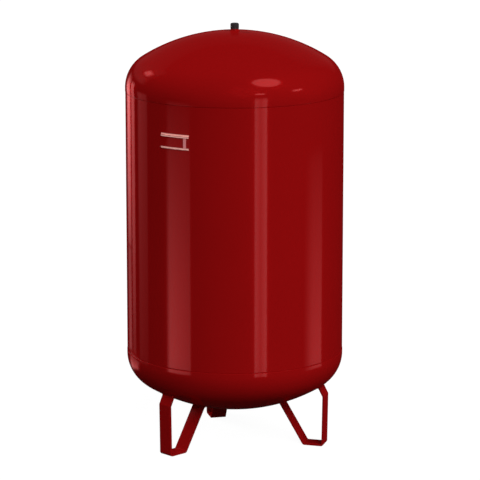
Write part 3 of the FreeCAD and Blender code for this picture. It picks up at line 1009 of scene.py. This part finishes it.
@dataclass
class Vessel:
    """Two dished heads and the rolled shell between them.

    A bevel is how far an edge stands back and how high, and a bead's ripples
    count for the full turn, or along the shell by their pitch and slant.
    """

    head_radius: float = 0.39485
    head_wall: float = 0.0035
    shell_radius: float = 0.394
    shell_wall: float = 0.0025
    flange: float = 0.014
    crown: float = 0.63585
    knuckle: float = 0.12485
    lower_seam: float = 0.346156
    upper_seam: float = 1.297156
    boss_port: float = 0.0152
    socket_port: float = 0.0212
    rim_round: Rounding = Rounding(0.0019, 60.0, 3)
    shell_round: Rounding = Rounding(0.0012, 60.0, 3)
    foot_bevel: Span = (0.0016, 0.0028)
    rim_bevel: Span = (0.0012, 0.0024)
    steps: int = 256
    knuckle_steps: int = 24
    crown_steps: int = 40
    seam_bead: Bead = Bead(0.0017, 0.0006, 6)
    seam_sink: float = 0.0019
    seam_ripples: int = 900
    seam_steps: int = 2700
    seam_sectors: int = 60
    ripple_depth: float = 0.00012
    long_bead: Bead = Bead(0.0035, 0.0008, 8)
    long_steps: int = 760
    long_pitch: float = 0.004
    long_slant: float = 400.0

    def head(self, side: Side, port: float) -> Mesh:
        """Wall of one head, spun from its rim, knuckle and crown arcs.

        Args:
            side: Which way it bulges.
            port: Radius of the hole in its crown.

        Returns:
            The head at its height.
        """
        wall = self.head_wall
        hub = self.head_radius - self.knuckle
        centre = self.flange - math.sqrt((self.crown - self.knuckle) ** 2 - hub**2)
        meet = math.atan2(self.flange - centre, hub)
        outer_end = math.acos(port / self.crown)
        inner_end = math.acos(port / (self.crown - wall))
        back, rise = self.rim_bevel if side is Side.UPPER else (0.0, 0.0)
        section = Turning(self.head_radius - back, 0)
        section.through((self.head_radius, rise), (self.head_radius, self.flange))
        section.arc(hub, self.flange, meet, self.knuckle_steps)
        section.arc(0, centre, outer_end - meet, self.crown_steps)
        section.through((port, centre + (self.crown - wall) * math.sin(inner_end)))
        section.arc(0, centre, meet - inner_end, self.crown_steps)
        section.arc(hub, self.flange, -meet, self.knuckle_steps)
        mesh = section.through((self.head_radius - wall, 0)).closed().spun(self.steps)
        self.rim_round.ease(mesh)
        seam = self.upper_seam if side is Side.UPPER else self.lower_seam
        bmesh.ops.scale(mesh, vec=(1, 1, side.value), verts=mesh.verts)
        bmesh.ops.translate(mesh, vec=UP * seam, verts=mesh.verts)
        bmesh.ops.recalc_face_normals(mesh, faces=mesh.faces)
        return mesh

    def shell(self) -> Mesh:
        """Rolled wall between the seams.

        Returns:
            The wall, with its outer edges stood back and rounded.
        """
        inner = self.shell_radius - self.shell_wall
        back, rise = self.foot_bevel
        section = Turning(self.shell_radius - back, self.lower_seam).through(
            (self.shell_radius, self.lower_seam + rise),
            (self.shell_radius, self.upper_seam),
            (inner, self.upper_seam),
            (inner, self.lower_seam),
        )
        mesh = section.closed().spun(self.steps)
        self.shell_round.ease(mesh)
        return mesh

    def seam(self, height: float) -> Mesh:
        """Rippled bead in the groove of a seam.

        Args:
            height: Height of the seam.

        Returns:
            The bead.
        """
        bead = self.seam_bead
        foot = self.shell_radius - self.seam_sink
        inner = foot - bead.rise / 2
        section = Turning(inner, height - bead.half).through((foot, height - bead.half))
        section.arc(foot - bead.depth(), height, bead.sweep(), bead.steps)
        section.through((inner, height + bead.half)).closed()
        mesh = section.spun(self.seam_steps, self.seam_sectors)
        return rippled(mesh, self.seam_ripples, self.ripple_depth)

    def back_bead(self) -> Mesh:
        """Rippled long bead of the rolled shell, at the back.

        Returns:
            The bead, from seam to seam.
        """
        bead = self.long_bead
        mesh = bmesh.new()
        foot = mesh.verts.new((bead.half, self.shell_radius, self.lower_seam))
        arc = bmesh.ops.spin(
            mesh,
            geom=[foot],
            cent=(0, self.shell_radius - bead.depth(), 0),
            axis=UP,
            angle=bead.sweep(),
            steps=bead.steps,
        )
        mesh.edges.new((arc["geom_last"][0], foot))
        section = bmesh.ops.contextual_create(mesh, geom=mesh.edges[:])["faces"]
        step = UP * ((self.upper_seam - self.lower_seam) / self.long_steps)
        bmesh.ops.spin(mesh, geom=section, axis=UP, angle=0, dvec=step, steps=self.long_steps)
        tidy(mesh)
        for vert in mesh.verts:
            swell = max(vert.co.y - self.shell_radius, 0) / bead.rise
            along = (vert.co.z - self.lower_seam) * FULL_TURN / self.long_pitch
            wave = math.cos(along + vert.co.x * self.long_slant)
            vert.co.y += self.ripple_depth * swell * (wave - 1) / 2
        return mesh

    def build(self) -> None:
        """Make heads, shell and beads."""
        for name, side, port in (
            ("upper_head", Side.UPPER, self.boss_port),
            ("lower_head", Side.LOWER, self.socket_port),
        ):
            finished(name + "_drawn", self.head(side, port), SHELL_PAINT, [name])
        finished("shell_rolled", self.shell(), SHELL_PAINT, ["shell"])
        for name, height in (("upper", self.upper_seam), ("lower", self.lower_seam)):
            # The seam beads take the darkened seam paint, which is painted shade in the groove.
            finished(name + "_seam_bead", self.seam(height), SEAM_PAINT_SHADED, smooth=BEAD_SMOOTH)
        finished("long_bead", self.back_bead(), BEAD_PAINT, smooth=BEAD_SMOOTH)


@dataclass
class Legs:
    """Three bent strips with softened edges, and the beads round their ends at the head."""

    nodes: tuple[str, ...] = ("leg_right", "leg_rear", "leg_front_left")
    edge_round: Rounding = Rounding(0.0009, 35.0, 3)
    root_gap: float = 0.0002
    root_play: float = 0.0001
    head_radius: float = 0.395
    flange: float = 0.014
    crown: float = 0.636
    knuckle: float = 0.125
    lower_seam: float = 0.346156
    bead: float = 0.0033
    bead_sides: int = 3
    bead_step: float = 0.0012
    easings: int = 2
    ripple: float = 0.07
    ripple_steps: int = 3

    def off_head(self, point: Vector) -> float:
        """How far a point stands off the lower head's outside.

        Args:
            point: The point.

        Returns:
            Metres, positive outside the head.
        """
        span = off_axis(point)
        below = self.lower_seam - self.flange - point.z
        hub = self.head_radius - self.knuckle
        drop = math.sqrt((self.crown - self.knuckle) ** 2 - hub**2)
        if below + drop > span * drop / hub:
            return math.hypot(span, below + drop) - self.crown
        return math.hypot(span - hub, max(below, 0)) - self.knuckle

    def at_head(self, face: bmesh.types.BMFace) -> bool:
        """Whether a face is one of the strip's ends, which lie along the head."""
        gaps = (self.off_head(vert.co) - self.root_gap for vert in face.verts)
        return all(abs(gap) < self.root_play for gap in gaps)

    def ends(self, mesh: Mesh) -> list[list[Vector]]:
        """Outlines of the strip's ends, where they meet the head.

        Args:
            mesh: The strip.

        Returns:
            The corners of each outline in their order.
        """
        rim = [
            edge for edge in mesh.edges
            if sum(self.at_head(face) for face in edge.link_faces) == 1
        ]
        outlines = []
        while rim:
            edge = rim.pop(0)
            first, vert = edge.verts
            outline = [first.co.copy()]
            while vert is not first:
                outline.append(vert.co.copy())
                edge = next(other for other in vert.link_edges if other in rim)
                rim.remove(edge)
                vert = edge.other_vert(vert)
            outlines.append(outline)
        return outlines

    def stepped(self, outline: list[Vector]) -> list[Vector]:
        """Outline in even short steps, with its corners eased.

        Args:
            outline: Corners in their order.

        Returns:
            The points.
        """
        points = []
        for start, end in zip(outline, outline[1:] + outline[:1]):
            count = max(1, round((end - start).length / self.bead_step))
            points += [start.lerp(end, index / count) for index in range(count)]
        for _ in range(self.easings):
            points = [
                (points[index - 1] + point * 2 + points[(index + 1) % len(points)]) / 4
                for index, point in enumerate(points)
            ]
        return points

    def weld(self, outline: list[Vector]) -> Mesh:
        """Rippled bead along an outline.

        Args:
            outline: Corners in their order.

        Returns:
            The bead.
        """
        points = self.stepped(outline)
        curve = bpy.data.curves.new("bead", "CURVE")
        curve.dimensions = "3D"
        curve.bevel_depth = self.bead
        curve.bevel_resolution = self.bead_sides
        spline = curve.splines.new("POLY")
        spline.points.add(len(points) - 1)
        spline.use_cyclic_u = True
        for index, (knot, point) in enumerate(zip(spline.points, points)):
            knot.co = (*point, 1)
            knot.radius = 1 + self.ripple * math.cos(FULL_TURN * index / self.ripple_steps)
        carrier = bpy.data.objects.new("bead", curve)
        tube = bpy.data.meshes.new_from_object(carrier)
        mesh = bmesh.new()
        mesh.from_mesh(tube)
        bpy.data.objects.remove(carrier)
        bpy.data.curves.remove(curve)
        bpy.data.meshes.remove(tube)
        tidy(mesh)
        return mesh

    def build(self) -> None:
        """Make the strips and their welds."""
        for node in self.nodes:
            mesh = node_copy(node)
            beads = joined([self.weld(outline) for outline in self.ends(mesh)])
            self.edge_round.ease(mesh)
            finished(node + "_strip", mesh, LEG_PAINT, [node])
            finished(node + "_welds", beads, BEAD_PAINT, smooth=BEAD_SMOOTH)


@dataclass
class PlateHolder:
    """Empty holder: two rolled rails and the end stop between them."""

    rails: tuple[str, ...] = ("top_rail", "bottom_rail")
    stop: str = "end_stop"
    edge_round: Rounding = Rounding(0.00015, 50.0, 2)

    def build(self) -> None:
        """Make rails and stop."""
        for node in (*self.rails, self.stop):
            mesh = node_copy(node)
            self.edge_round.ease(mesh)
            finish = STOP_STEEL if node == self.stop else RAIL_STEEL
            finished(node + "_sheet", mesh, finish, [node], slot=Slot.BRIGHT)


@dataclass
class GasValve:
    """Boss, valve, core and screwed cap on the upper head. Heights stand above its apex."""

    apex: float = 1.513311
    boss: float = 0.015
    boss_foot: float = -0.009
    shoulder: float = 0.008
    neck_top: float = 0.014
    neck_thread: Thread = Thread(root=0.0121, crest=0.0126, pitch=0.0015, foot=0.0083, top=0.0139)
    bore: float = 0.00658
    edge: float = 0.0004
    weld_leg: float = 0.0042
    weld_toe: float = 0.0005
    weld_ripples: int = 60
    shank: float = 0.0065
    shank_top: float = 0.016
    low_bore: float = 0.00195
    chamber: float = 0.00265
    chamber_foot: float = 0.0133
    seat: float = 0.0126
    hex_foot: float = 0.0152
    hex_top: float = 0.0187
    hex_flats: float = 0.0085
    hex_face: float = 0.0083
    hex_chamfer: float = 0.0006
    hex_play: float = 0.0001
    stem_top: float = 0.0252
    stem_thread: Thread = Thread(root=0.00345, crest=0.00385, pitch=0.0008, foot=0.0192, top=0.0249)
    steps: int = 96
    stem_steps: int = 64
    skirt_bore: float = 0.01275
    skirt_top: float = 0.0255
    skirt_thread: Thread = Thread(
        root=0.01315, crest=0.01275, pitch=0.0015, foot=0.0101, top=0.0156
    )
    wall_round: Rounding = Rounding(0.0002, 40.0, 2)
    crown_flat: float = 0.0139
    crown_edge: float = 0.0014
    crown_slope: float = 0.003
    crown_play: float = 0.02
    spring_ledge: float = 0.0122
    pin_travel: float = 0.0015

    def on_head(self, mesh: Mesh) -> Mesh:
        """Lift a mesh from the origin to the apex."""
        bmesh.ops.translate(mesh, vec=UP * self.apex, verts=mesh.verts)
        return mesh

    def boss_turned(self) -> Mesh:
        """Boss with its threaded neck.

        Returns:
            The boss, where it stands in the head.
        """
        edge, neck = self.edge, self.neck_thread.root
        section = Turning(self.bore, self.boss_foot).through(
            (self.boss - edge, self.boss_foot),
            (self.boss, self.boss_foot + edge),
            (self.boss, self.shoulder - edge),
            (self.boss - edge, self.shoulder),
            (neck, self.shoulder),
            (neck, self.neck_top - edge),
            (neck - edge, self.neck_top),
            (self.bore, self.neck_top),
        )
        turned = section.closed().spun(self.steps)
        return self.on_head(joined([turned, self.neck_thread.ridge()]))

    def nut(self) -> Mesh:
        """Hexagon of the valve, with its upper corners turned off.

        Returns:
            The hexagon, with its heights above the apex.
        """
        bore = self.stem_thread.root - self.hex_play
        section = Turning(bore, self.hex_foot).through(
            (self.hex_flats, self.hex_foot),
            (self.hex_flats, self.hex_top - self.hex_chamfer),
            (self.hex_face, self.hex_top),
            (bore, self.hex_top),
        )
        mesh = section.closed().spun(self.steps)
        for vert in mesh.verts:
            if off_axis(vert.co) > self.hex_face + self.hex_play:
                from_flat = bearing(vert.co) % (math.pi / 3) - math.pi / 6
                spread(vert, 1 / math.cos(from_flat))
        return mesh

    def valve_turned(self) -> Mesh:
        """Valve body: shank, hexagon and threaded stem round the core's chamber.

        Returns:
            The valve body, where it stands in the boss.
        """
        stem = self.stem_thread.root
        section = Turning(self.low_bore, self.boss_foot).through(
            (self.shank, self.boss_foot),
            (self.shank, self.shank_top),
            (stem, self.shank_top),
            (stem, self.stem_top - self.edge),
            (stem - self.edge, self.stem_top),
            (self.chamber, self.stem_top),
            (self.chamber, self.chamber_foot),
            (self.low_bore, self.seat),
        )
        turned = section.closed().spun(self.stem_steps)
        return self.on_head(joined([turned, self.nut(), self.stem_thread.ridge()]))

    def crown_sloped(self, mesh: Mesh) -> None:
        """Widen the sloped edge round the cap's top.

        Args:
            mesh: The cap.
        """
        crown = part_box("valve_cap")[1].z
        wider = self.crown_slope - self.crown_edge
        near = self.crown_edge * self.crown_play
        flat = [vert for vert in mesh.verts if crown - vert.co.z < near]
        edge = [
            vert for vert in mesh.verts
            if near <= crown - vert.co.z < self.crown_edge + near
        ]
        narrowed = 1.0 - wider / self.crown_flat
        bmesh.ops.scale(mesh, vec=(narrowed, narrowed, 1.0), verts=flat)
        bmesh.ops.translate(mesh, vec=UP * -wider, verts=edge)

    def cap_moulded(self) -> Mesh:
        """Fluted cap with rounded edges and the thread inside its skirt.

        Returns:
            The cap, where it sits on the neck.
        """
        mesh = node_copy("valve_cap")
        self.crown_sloped(mesh)
        self.wall_round.ease(mesh)
        for vert in mesh.verts:
            span = off_axis(vert.co)
            in_bore = abs(span - self.skirt_bore) < self.wall_round.width
            if in_bore and vert.co.z < self.apex + self.skirt_top:
                spread(vert, self.skirt_thread.root / span)
        return joined([mesh, self.on_head(self.skirt_thread.ridge())])

    def squashed(self, spring: bpy.types.Object) -> None:
        """Give the spring a mesh of its own; it is not shortened.

        Args:
            spring: The spring.
        """
        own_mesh(spring)

    def build(self) -> None:
        """Make boss, valve, cap and spring, and dress the core."""
        weld = Fillet(
            self.boss, self.apex, self.weld_leg, self.weld_toe, Side.UPPER, self.weld_ripples
        )
        finished("boss_turned", self.boss_turned(), SHELL_PAINT, ["valve_boss"])
        finished("boss_weld", weld.bead(), BEAD_PAINT)
        finished("valve_turned", self.valve_turned(), BRASS, ["valve_body"], slot=Slot.BRASS)
        cap = self.cap_moulded()
        finished("cap_moulded", cap, CAP_PLASTIC, ["valve_cap"], Body.CAP, Slot.PLASTIC)
        dressed(["valve_washer"], FIBRE)
        dressed(["core_barrel", "core_pin"], BRASS)
        dressed(["core_gasket"], GASKET)
        dressed(["core_seal", "cap_seal"], RUBBER)
        coil = node_copy("core_spring")
        self.squashed(
            finished("spring_coil", coil, SPRING_STEEL, ["core_spring"], slot=Slot.SPRING)
        )


@dataclass
class WaterConnection:
    """Threaded socket and port guard in the lower head, with diaphragm and clamp ring."""

    outer: float = 0.021
    foot: float = 0.118
    top: float = 0.139
    ledge_radius: float = 0.01765
    ledge: float = 0.137
    edge: float = 0.0005
    thread: Thread = Thread(root=0.01662, crest=0.01515, pitch=0.002309, foot=0.1186, top=0.1368)
    steps: int = 128
    head_foot: float = 0.130
    weld_leg: float = 0.0045
    weld_toe: float = 0.0006
    weld_ripples: int = 72
    guard_round: Rounding = Rounding(0.0003, 50.0, 2)

    def socket_turned(self) -> Mesh:
        """Socket with its pipe thread.

        Returns:
            The socket, where it stands in the head.
        """
        root, edge = self.thread.root, self.edge
        section = Turning(root + edge, self.foot).through(
            (self.outer - edge, self.foot),
            (self.outer, self.foot + edge),
            (self.outer, self.top - edge),
            (self.outer - edge, self.top),
            (self.ledge_radius, self.top),
            (self.ledge_radius, self.ledge),
            (root, self.ledge),
            (root, self.foot + edge),
        )
        return joined([section.closed().spun(self.steps), self.thread.ridge()])

    def build(self) -> None:
        """Make socket, weld and guard, and dress diaphragm and ring."""
        weld = Fillet(
            self.outer, self.head_foot, self.weld_leg, self.weld_toe, Side.LOWER, self.weld_ripples
        )
        guard = node_copy("port_guard")
        self.guard_round.ease(guard)
        finished("socket_turned", self.socket_turned(), SHELL_PAINT, ["water_socket"])
        finished("socket_weld", weld.bead(), BEAD_PAINT)
        finished("guard_pierced", guard, INNER_STEEL, ["port_guard"], slot=Slot.BRIGHT)
        dressed(["clamp_ring"], INNER_STEEL)
        dressed(["diaphragm"], RUBBER)


# Studio


def towards(turn: float, rise: float) -> Vector:
    """Direction from the tank's axis outwards.

    Args:
        turn: Degrees to the right of the camera.
        rise: Degrees above the horizon.

    Returns:
        The direction, one metre long.
    """
    angle, lift = math.radians(CAMERA_TURN + turn), math.radians(rise)
    level = math.cos(lift)
    return Vector((math.sin(angle) * level, -math.cos(angle) * level, math.sin(lift)))


def round_sheet(radius: float, segments: int) -> Mesh:
    """Flat round sheet at the origin.

    Args:
        radius: Its radius in metres.
        segments: Sides of its outline.

    Returns:
        The sheet.
    """
    mesh = bmesh.new()
    bmesh.ops.create_circle(mesh, cap_ends=True, radius=radius, segments=segments)
    return mesh


def stood(name: str, mesh: Mesh, material: bpy.types.Material) -> None:
    """Stand up a stage object that only gloss sees.

    Args:
        name: Its name.
        mesh: Its shape. It is freed.
        material: Its material.
    """
    made = placed(name, mesh, material)
    made.visible_camera = made.visible_diffuse = made.visible_shadow = False
    made.visible_transmission = False


@dataclass(frozen=True)
class Panel:
    """Glowing panel that is seen in the tank's paint alone."""

    name: str
    glow: float

    def mesh(self) -> Mesh:
        """Shape of the panel, where it stands."""
        raise NotImplementedError

    def mask(self, bench: NodeBench) -> Shade:
        """Share of the glow at each place on the panel."""
        raise NotImplementedError

    def shader(self, bench: NodeBench) -> Shade:
        """White glow over the panel's face."""
        return bench.glow(WHITE, self.mask(bench) * self.glow)

    def stand(self) -> None:
        """Stand the panel up in the studio."""
        stood(self.name, self.mesh(), material_made(self.name, self.shader))


@dataclass(frozen=True)
class Card(Panel):
    """Curved card that stands round the tank.

    Angles are degrees to the right of the camera, heights are metres. Its foot
    stands nearer to the tank than its top by the reach. The soft sides are
    shares of its width or height, a fade above 0 dims it upwards and one below
    0 downwards, a waist dims its middle, and a lean brightens its right.
    """

    left: float
    right: float
    foot: float
    top: float
    ring: float = 1.5
    soft_left: float = 0.1
    soft_right: float = 0.1
    soft_foot: float = 0.02
    soft_top: float = 0.1
    fade: float = 0.0
    waist: float = 0.0
    lean: float = 0.0
    reach: float = 0.0
    step: float = 3.0
    least_steps: int = 4

    def mesh(self) -> Mesh:
        """Shape of the card, where it stands.

        Returns:
            The curved strip.
        """
        strip = bmesh.new()
        way = towards(self.left, 0.0)
        low = strip.verts.new(way * (self.ring - self.reach) + UP * self.foot)
        high = strip.verts.new(way * self.ring + UP * self.top)
        edge = strip.edges.new((low, high))
        width = self.right - self.left
        bmesh.ops.spin(
            strip,
            geom=[low, high, edge],
            axis=UP,
            angle=math.radians(width),
            steps=max(self.least_steps, round(width / self.step)),
        )
        return strip

    def mask(self, bench: NodeBench) -> Shade:
        """Share of the glow at each place on the card.

        Args:
            bench: Where the nodes go.

        Returns:
            The share, soft at the sides.
        """
        across, deep, height = bench.parts(bench.place())
        turn = across.turn_from(0.0 - deep) * math.degrees(1.0) - CAMERA_TURN
        side = (turn + 2 * FULL_DEGREES - self.left).wrapped(FULL_DEGREES)
        side = side / (self.right - self.left)
        rise = (height - self.foot) / (self.top - self.foot)
        middle = (side - 0.5) * 2.0
        sunk = rise if self.fade > 0 else 1.0 - rise
        edges = side.window(self.soft_left, self.soft_right)
        edges = edges * rise.window(self.soft_foot, self.soft_top)
        faded = edges * (1.0 - abs(self.fade) * sunk).clamped()
        return faded * (1.0 - self.waist * (1.0 - middle.size())) * (1.0 + self.lean * middle)


@dataclass(frozen=True)
class Disc(Panel):
    """Round card that faces one spot of the tank, with a soft rim outside its plain share."""

    spot: Axes
    turn: float
    rise: float
    radius: float
    plain: float
    away: float = 1.2
    segments: int = 48

    def centre(self) -> Vector:
        """Where the card's middle stands."""
        return Vector(self.spot) + towards(self.turn, self.rise) * self.away

    def mesh(self) -> Mesh:
        """Shape of the card, where it stands.

        Returns:
            The round sheet.
        """
        sheet = round_sheet(self.radius, self.segments)
        facing = towards(self.turn, self.rise).to_track_quat("Z", "Y").to_matrix()
        bmesh.ops.rotate(sheet, cent=(0, 0, 0), matrix=facing, verts=sheet.verts)
        bmesh.ops.translate(sheet, vec=self.centre(), verts=sheet.verts)
        return sheet

    def mask(self, bench: NodeBench) -> Shade:
        """Share of the glow at each place on the card."""
        return 1.0 - (bench.away_from(self.centre()) / self.radius).ramp_up(self.plain, 1.0)


@dataclass(frozen=True)
class Lamp:
    """Soft distant lamp that only matt light sees, aimed at the tank.

    Its turn is degrees to the right of the camera, its rise degrees above the
    horizon, and its power watts to the square metre.
    """

    name: str
    turn: float
    rise: float
    power: float
    spread: float = 30.0
    away: float = 4.0

    def hang(self) -> None:
        """Hang the lamp in the studio."""
        light = bpy.data.lights.new(self.name, "SUN")
        light.angle = math.radians(self.spread)
        light.energy = self.power
        way = towards(self.turn, self.rise)
        made = bpy.data.objects.new(self.name, light)
        made.location = way * self.away
        made.rotation_euler = (-way).to_track_quat("-Z", "Y").to_euler()
        made.visible_glossy = made.visible_camera = False
        bpy.context.scene.collection.objects.link(made)


@dataclass
class Studio:
    """Pale floor, dark surroundings, glowing cards, soft lamps and the camera."""

    distance: float = 9.9055
    eye: float = 2.8884
    tilt: float = 0.21303
    pan: float = 0.00193
    lens: float = 208.58
    sensor: float = 36.0
    view_depth: float = 100.0
    world: float = 0.19
    floor_half: float = 14.0
    floor_matt: float = 0.12
    floor_pale: float = 0.5
    floor_glow: float = 1.13
    floor_cover: float = 0.85
    flag_grey: Colour = (0.02, 0.018, 0.018)
    flag_ring: float = 1.7
    flag_top: float = 5.0
    flag_segments: int = 64
    level_flags: tuple[tuple[str, float, float], ...] = (
        ("top_flag", 5.0, 1.75),
        ("floor_flag", 0.002, 1.72),
    )
    panels: tuple[Panel, ...] = (
        Card("tall_softbox", 2.4, 17.2, 30.0, 0.0, 1.58, soft_left=0.14, soft_top=0.16,
             waist=0.6, lean=0.06),
        Card("tall_streak", 4.2, 18.0, 29.5, 1.72, 1.84, soft_left=0.3, soft_right=0.3,
             soft_foot=0.35, soft_top=0.35),
        Card("right_softbox", 1.5, 67.0, 94.0, 0.0, 0.95, soft_left=0.55, soft_right=0.05,
             fade=0.95, lean=0.1),
        Card("right_streak", 4.0, 55.5, 70.0, 1.7, 1.86, soft_left=0.3, soft_right=0.3,
             soft_foot=0.4, soft_top=0.4),
        Card("left_softbox", 1.95, -68.5, -41.0, 0.0, 1.3, soft_left=0.2, soft_right=0.04,
             soft_top=0.2, fade=1.08, lean=-0.42),
        Card("left_slit", 0.85, -111.0, -92.0, 0.0, 1.3, soft_left=0.2, fade=-0.7, lean=-0.35),
        Card("left_softbox_edge", 4.3, -126.0, -117.0, 0.0, 1.5, soft_left=0.15, fade=-0.9),
        Card("left_low_streak", 1.1, -143.0, -128.5, 0.0, 0.45, soft_left=0.4, soft_top=0.01),
        Card("left_high_streak", 8.4, -143.5, -128.0, 0.45, 1.56, soft_left=0.4,
             soft_foot=0.01, soft_top=0.4, fade=-0.85),
        Card("left_floor_card", 2.8, -136.0, -106.0, 0.004, 0.03, ring=1.45, soft_left=0.2,
             soft_right=0.25, soft_foot=0.25, fade=0.6, reach=0.66),
        Card("left_square", 3.5, -125.0, -105.5, 1.93, 2.38, soft_left=0.3, soft_right=0.4,
             soft_foot=0.35, soft_top=0.35),
        Card("back_card", 0.46, 125.0, 262.0, 1.55, 3.0, ring=1.55, soft_left=0.2,
             soft_foot=0.1, fade=0.8, waist=0.6, lean=0.5),
        Disc("high_round", 2.4, (0.208, -0.31, 1.379), 48.9, 54.7, 0.333, 0.85),
    )
    lamps: tuple[Lamp, ...] = (
        Lamp("front_lamp", 10.0, 30.0, 2.2),
        Lamp("high_lamp", 50.0, 45.0, 1.68),
        Lamp("back_lamp", -125.0, 30.0, 1.85),
        Lamp("right_lamp", 90.0, 5.0, 0.82),
    )

    def stand_flags(self) -> None:
        """Dark flags round the cards, above the tank and on the floor."""
        dark = material_made("dark_flag", lambda bench: bench.glow(self.flag_grey, 1.0))
        ring = Card("ring_flag", 0.0, 0.0, FULL_DEGREES, 0.0, self.flag_top, self.flag_ring)
        stood(ring.name, ring.mesh(), dark)
        for name, height, radius in self.level_flags:
            sheet = round_sheet(radius, self.flag_segments)
            bmesh.ops.translate(sheet, vec=UP * height, verts=sheet.verts)
            stood(name, sheet, dark)

    def floor_shader(self, bench: NodeBench) -> Shade:
        """Matt ground that looks pale and keeps the tank's shadow.

        Args:
            bench: Where the nodes go.

        Returns:
            The shader.
        """
        seen = bench.seen()
        grey = bench.blend((self.floor_matt,) * 3, (self.floor_pale,) * 3, seen)
        matt = bench.node("ShaderNodeBsdfDiffuse", {}, {"Color": grey})
        pale = bench.glow(WHITE, self.floor_glow)
        inputs = {0: seen * self.floor_cover, 1: matt, 2: pale}
        return bench.node("ShaderNodeMixShader", {}, inputs)

    def lay_floor(self) -> None:
        """Pale floor under the tank."""
        mesh = bmesh.new()
        bmesh.ops.create_grid(mesh, x_segments=1, y_segments=1, size=self.floor_half)
        placed("studio_floor", mesh, material_made("studio_floor", self.floor_shader))

    def light_world(self) -> None:
        """White surroundings for the camera, and a dim even light."""
        world = bpy.data.worlds.new("studio")
        bench = NodeBench(world)
        strength = self.world + bench.seen() * (1.0 - self.world)
        inputs = {"Color": (*WHITE, 1), "Strength": strength}
        sky = bench.node("ShaderNodeBackground", {}, inputs)
        bench.node("ShaderNodeOutputWorld", {}, {"Surface": sky})
        bpy.context.scene.world = world

    def set_camera(self) -> None:
        """Camera at the photograph's angle."""
        data = bpy.data.cameras.new("camera")
        data.sensor_width = self.sensor
        data.lens = self.lens
        data.clip_end = self.view_depth
        camera = bpy.data.objects.new("camera", data)
        turn = math.radians(CAMERA_TURN)
        camera.location = (
            math.sin(turn) * self.distance, -math.cos(turn) * self.distance, self.eye
        )
        camera.rotation_euler = (math.pi / 2 - self.tilt, 0, turn - self.pan)
        bpy.context.scene.collection.objects.link(camera)
        bpy.context.scene.camera = camera

    def build(self) -> None:
        """Set up camera, floor, world, cards, flags and lamps."""
        bpy.context.scene.view_settings.view_transform = "Standard"
        self.set_camera()
        self.lay_floor()
        self.light_world()
        for panel in self.panels:
            panel.stand()
        self.stand_flags()
        for lamp in self.lamps:
            lamp.hang()


def main() -> None:
    """Build the tank and its studio."""
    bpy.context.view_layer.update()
    for assembly in (Vessel(), Legs(), PlateHolder(), GasValve(), WaterConnection(), Studio()):
        log.info("building %s", type(assembly).__name__)
        assembly.build()


if __name__ == "__main__":
    logging.basicConfig(level=logging.INFO, format="%(message)s")
    main()
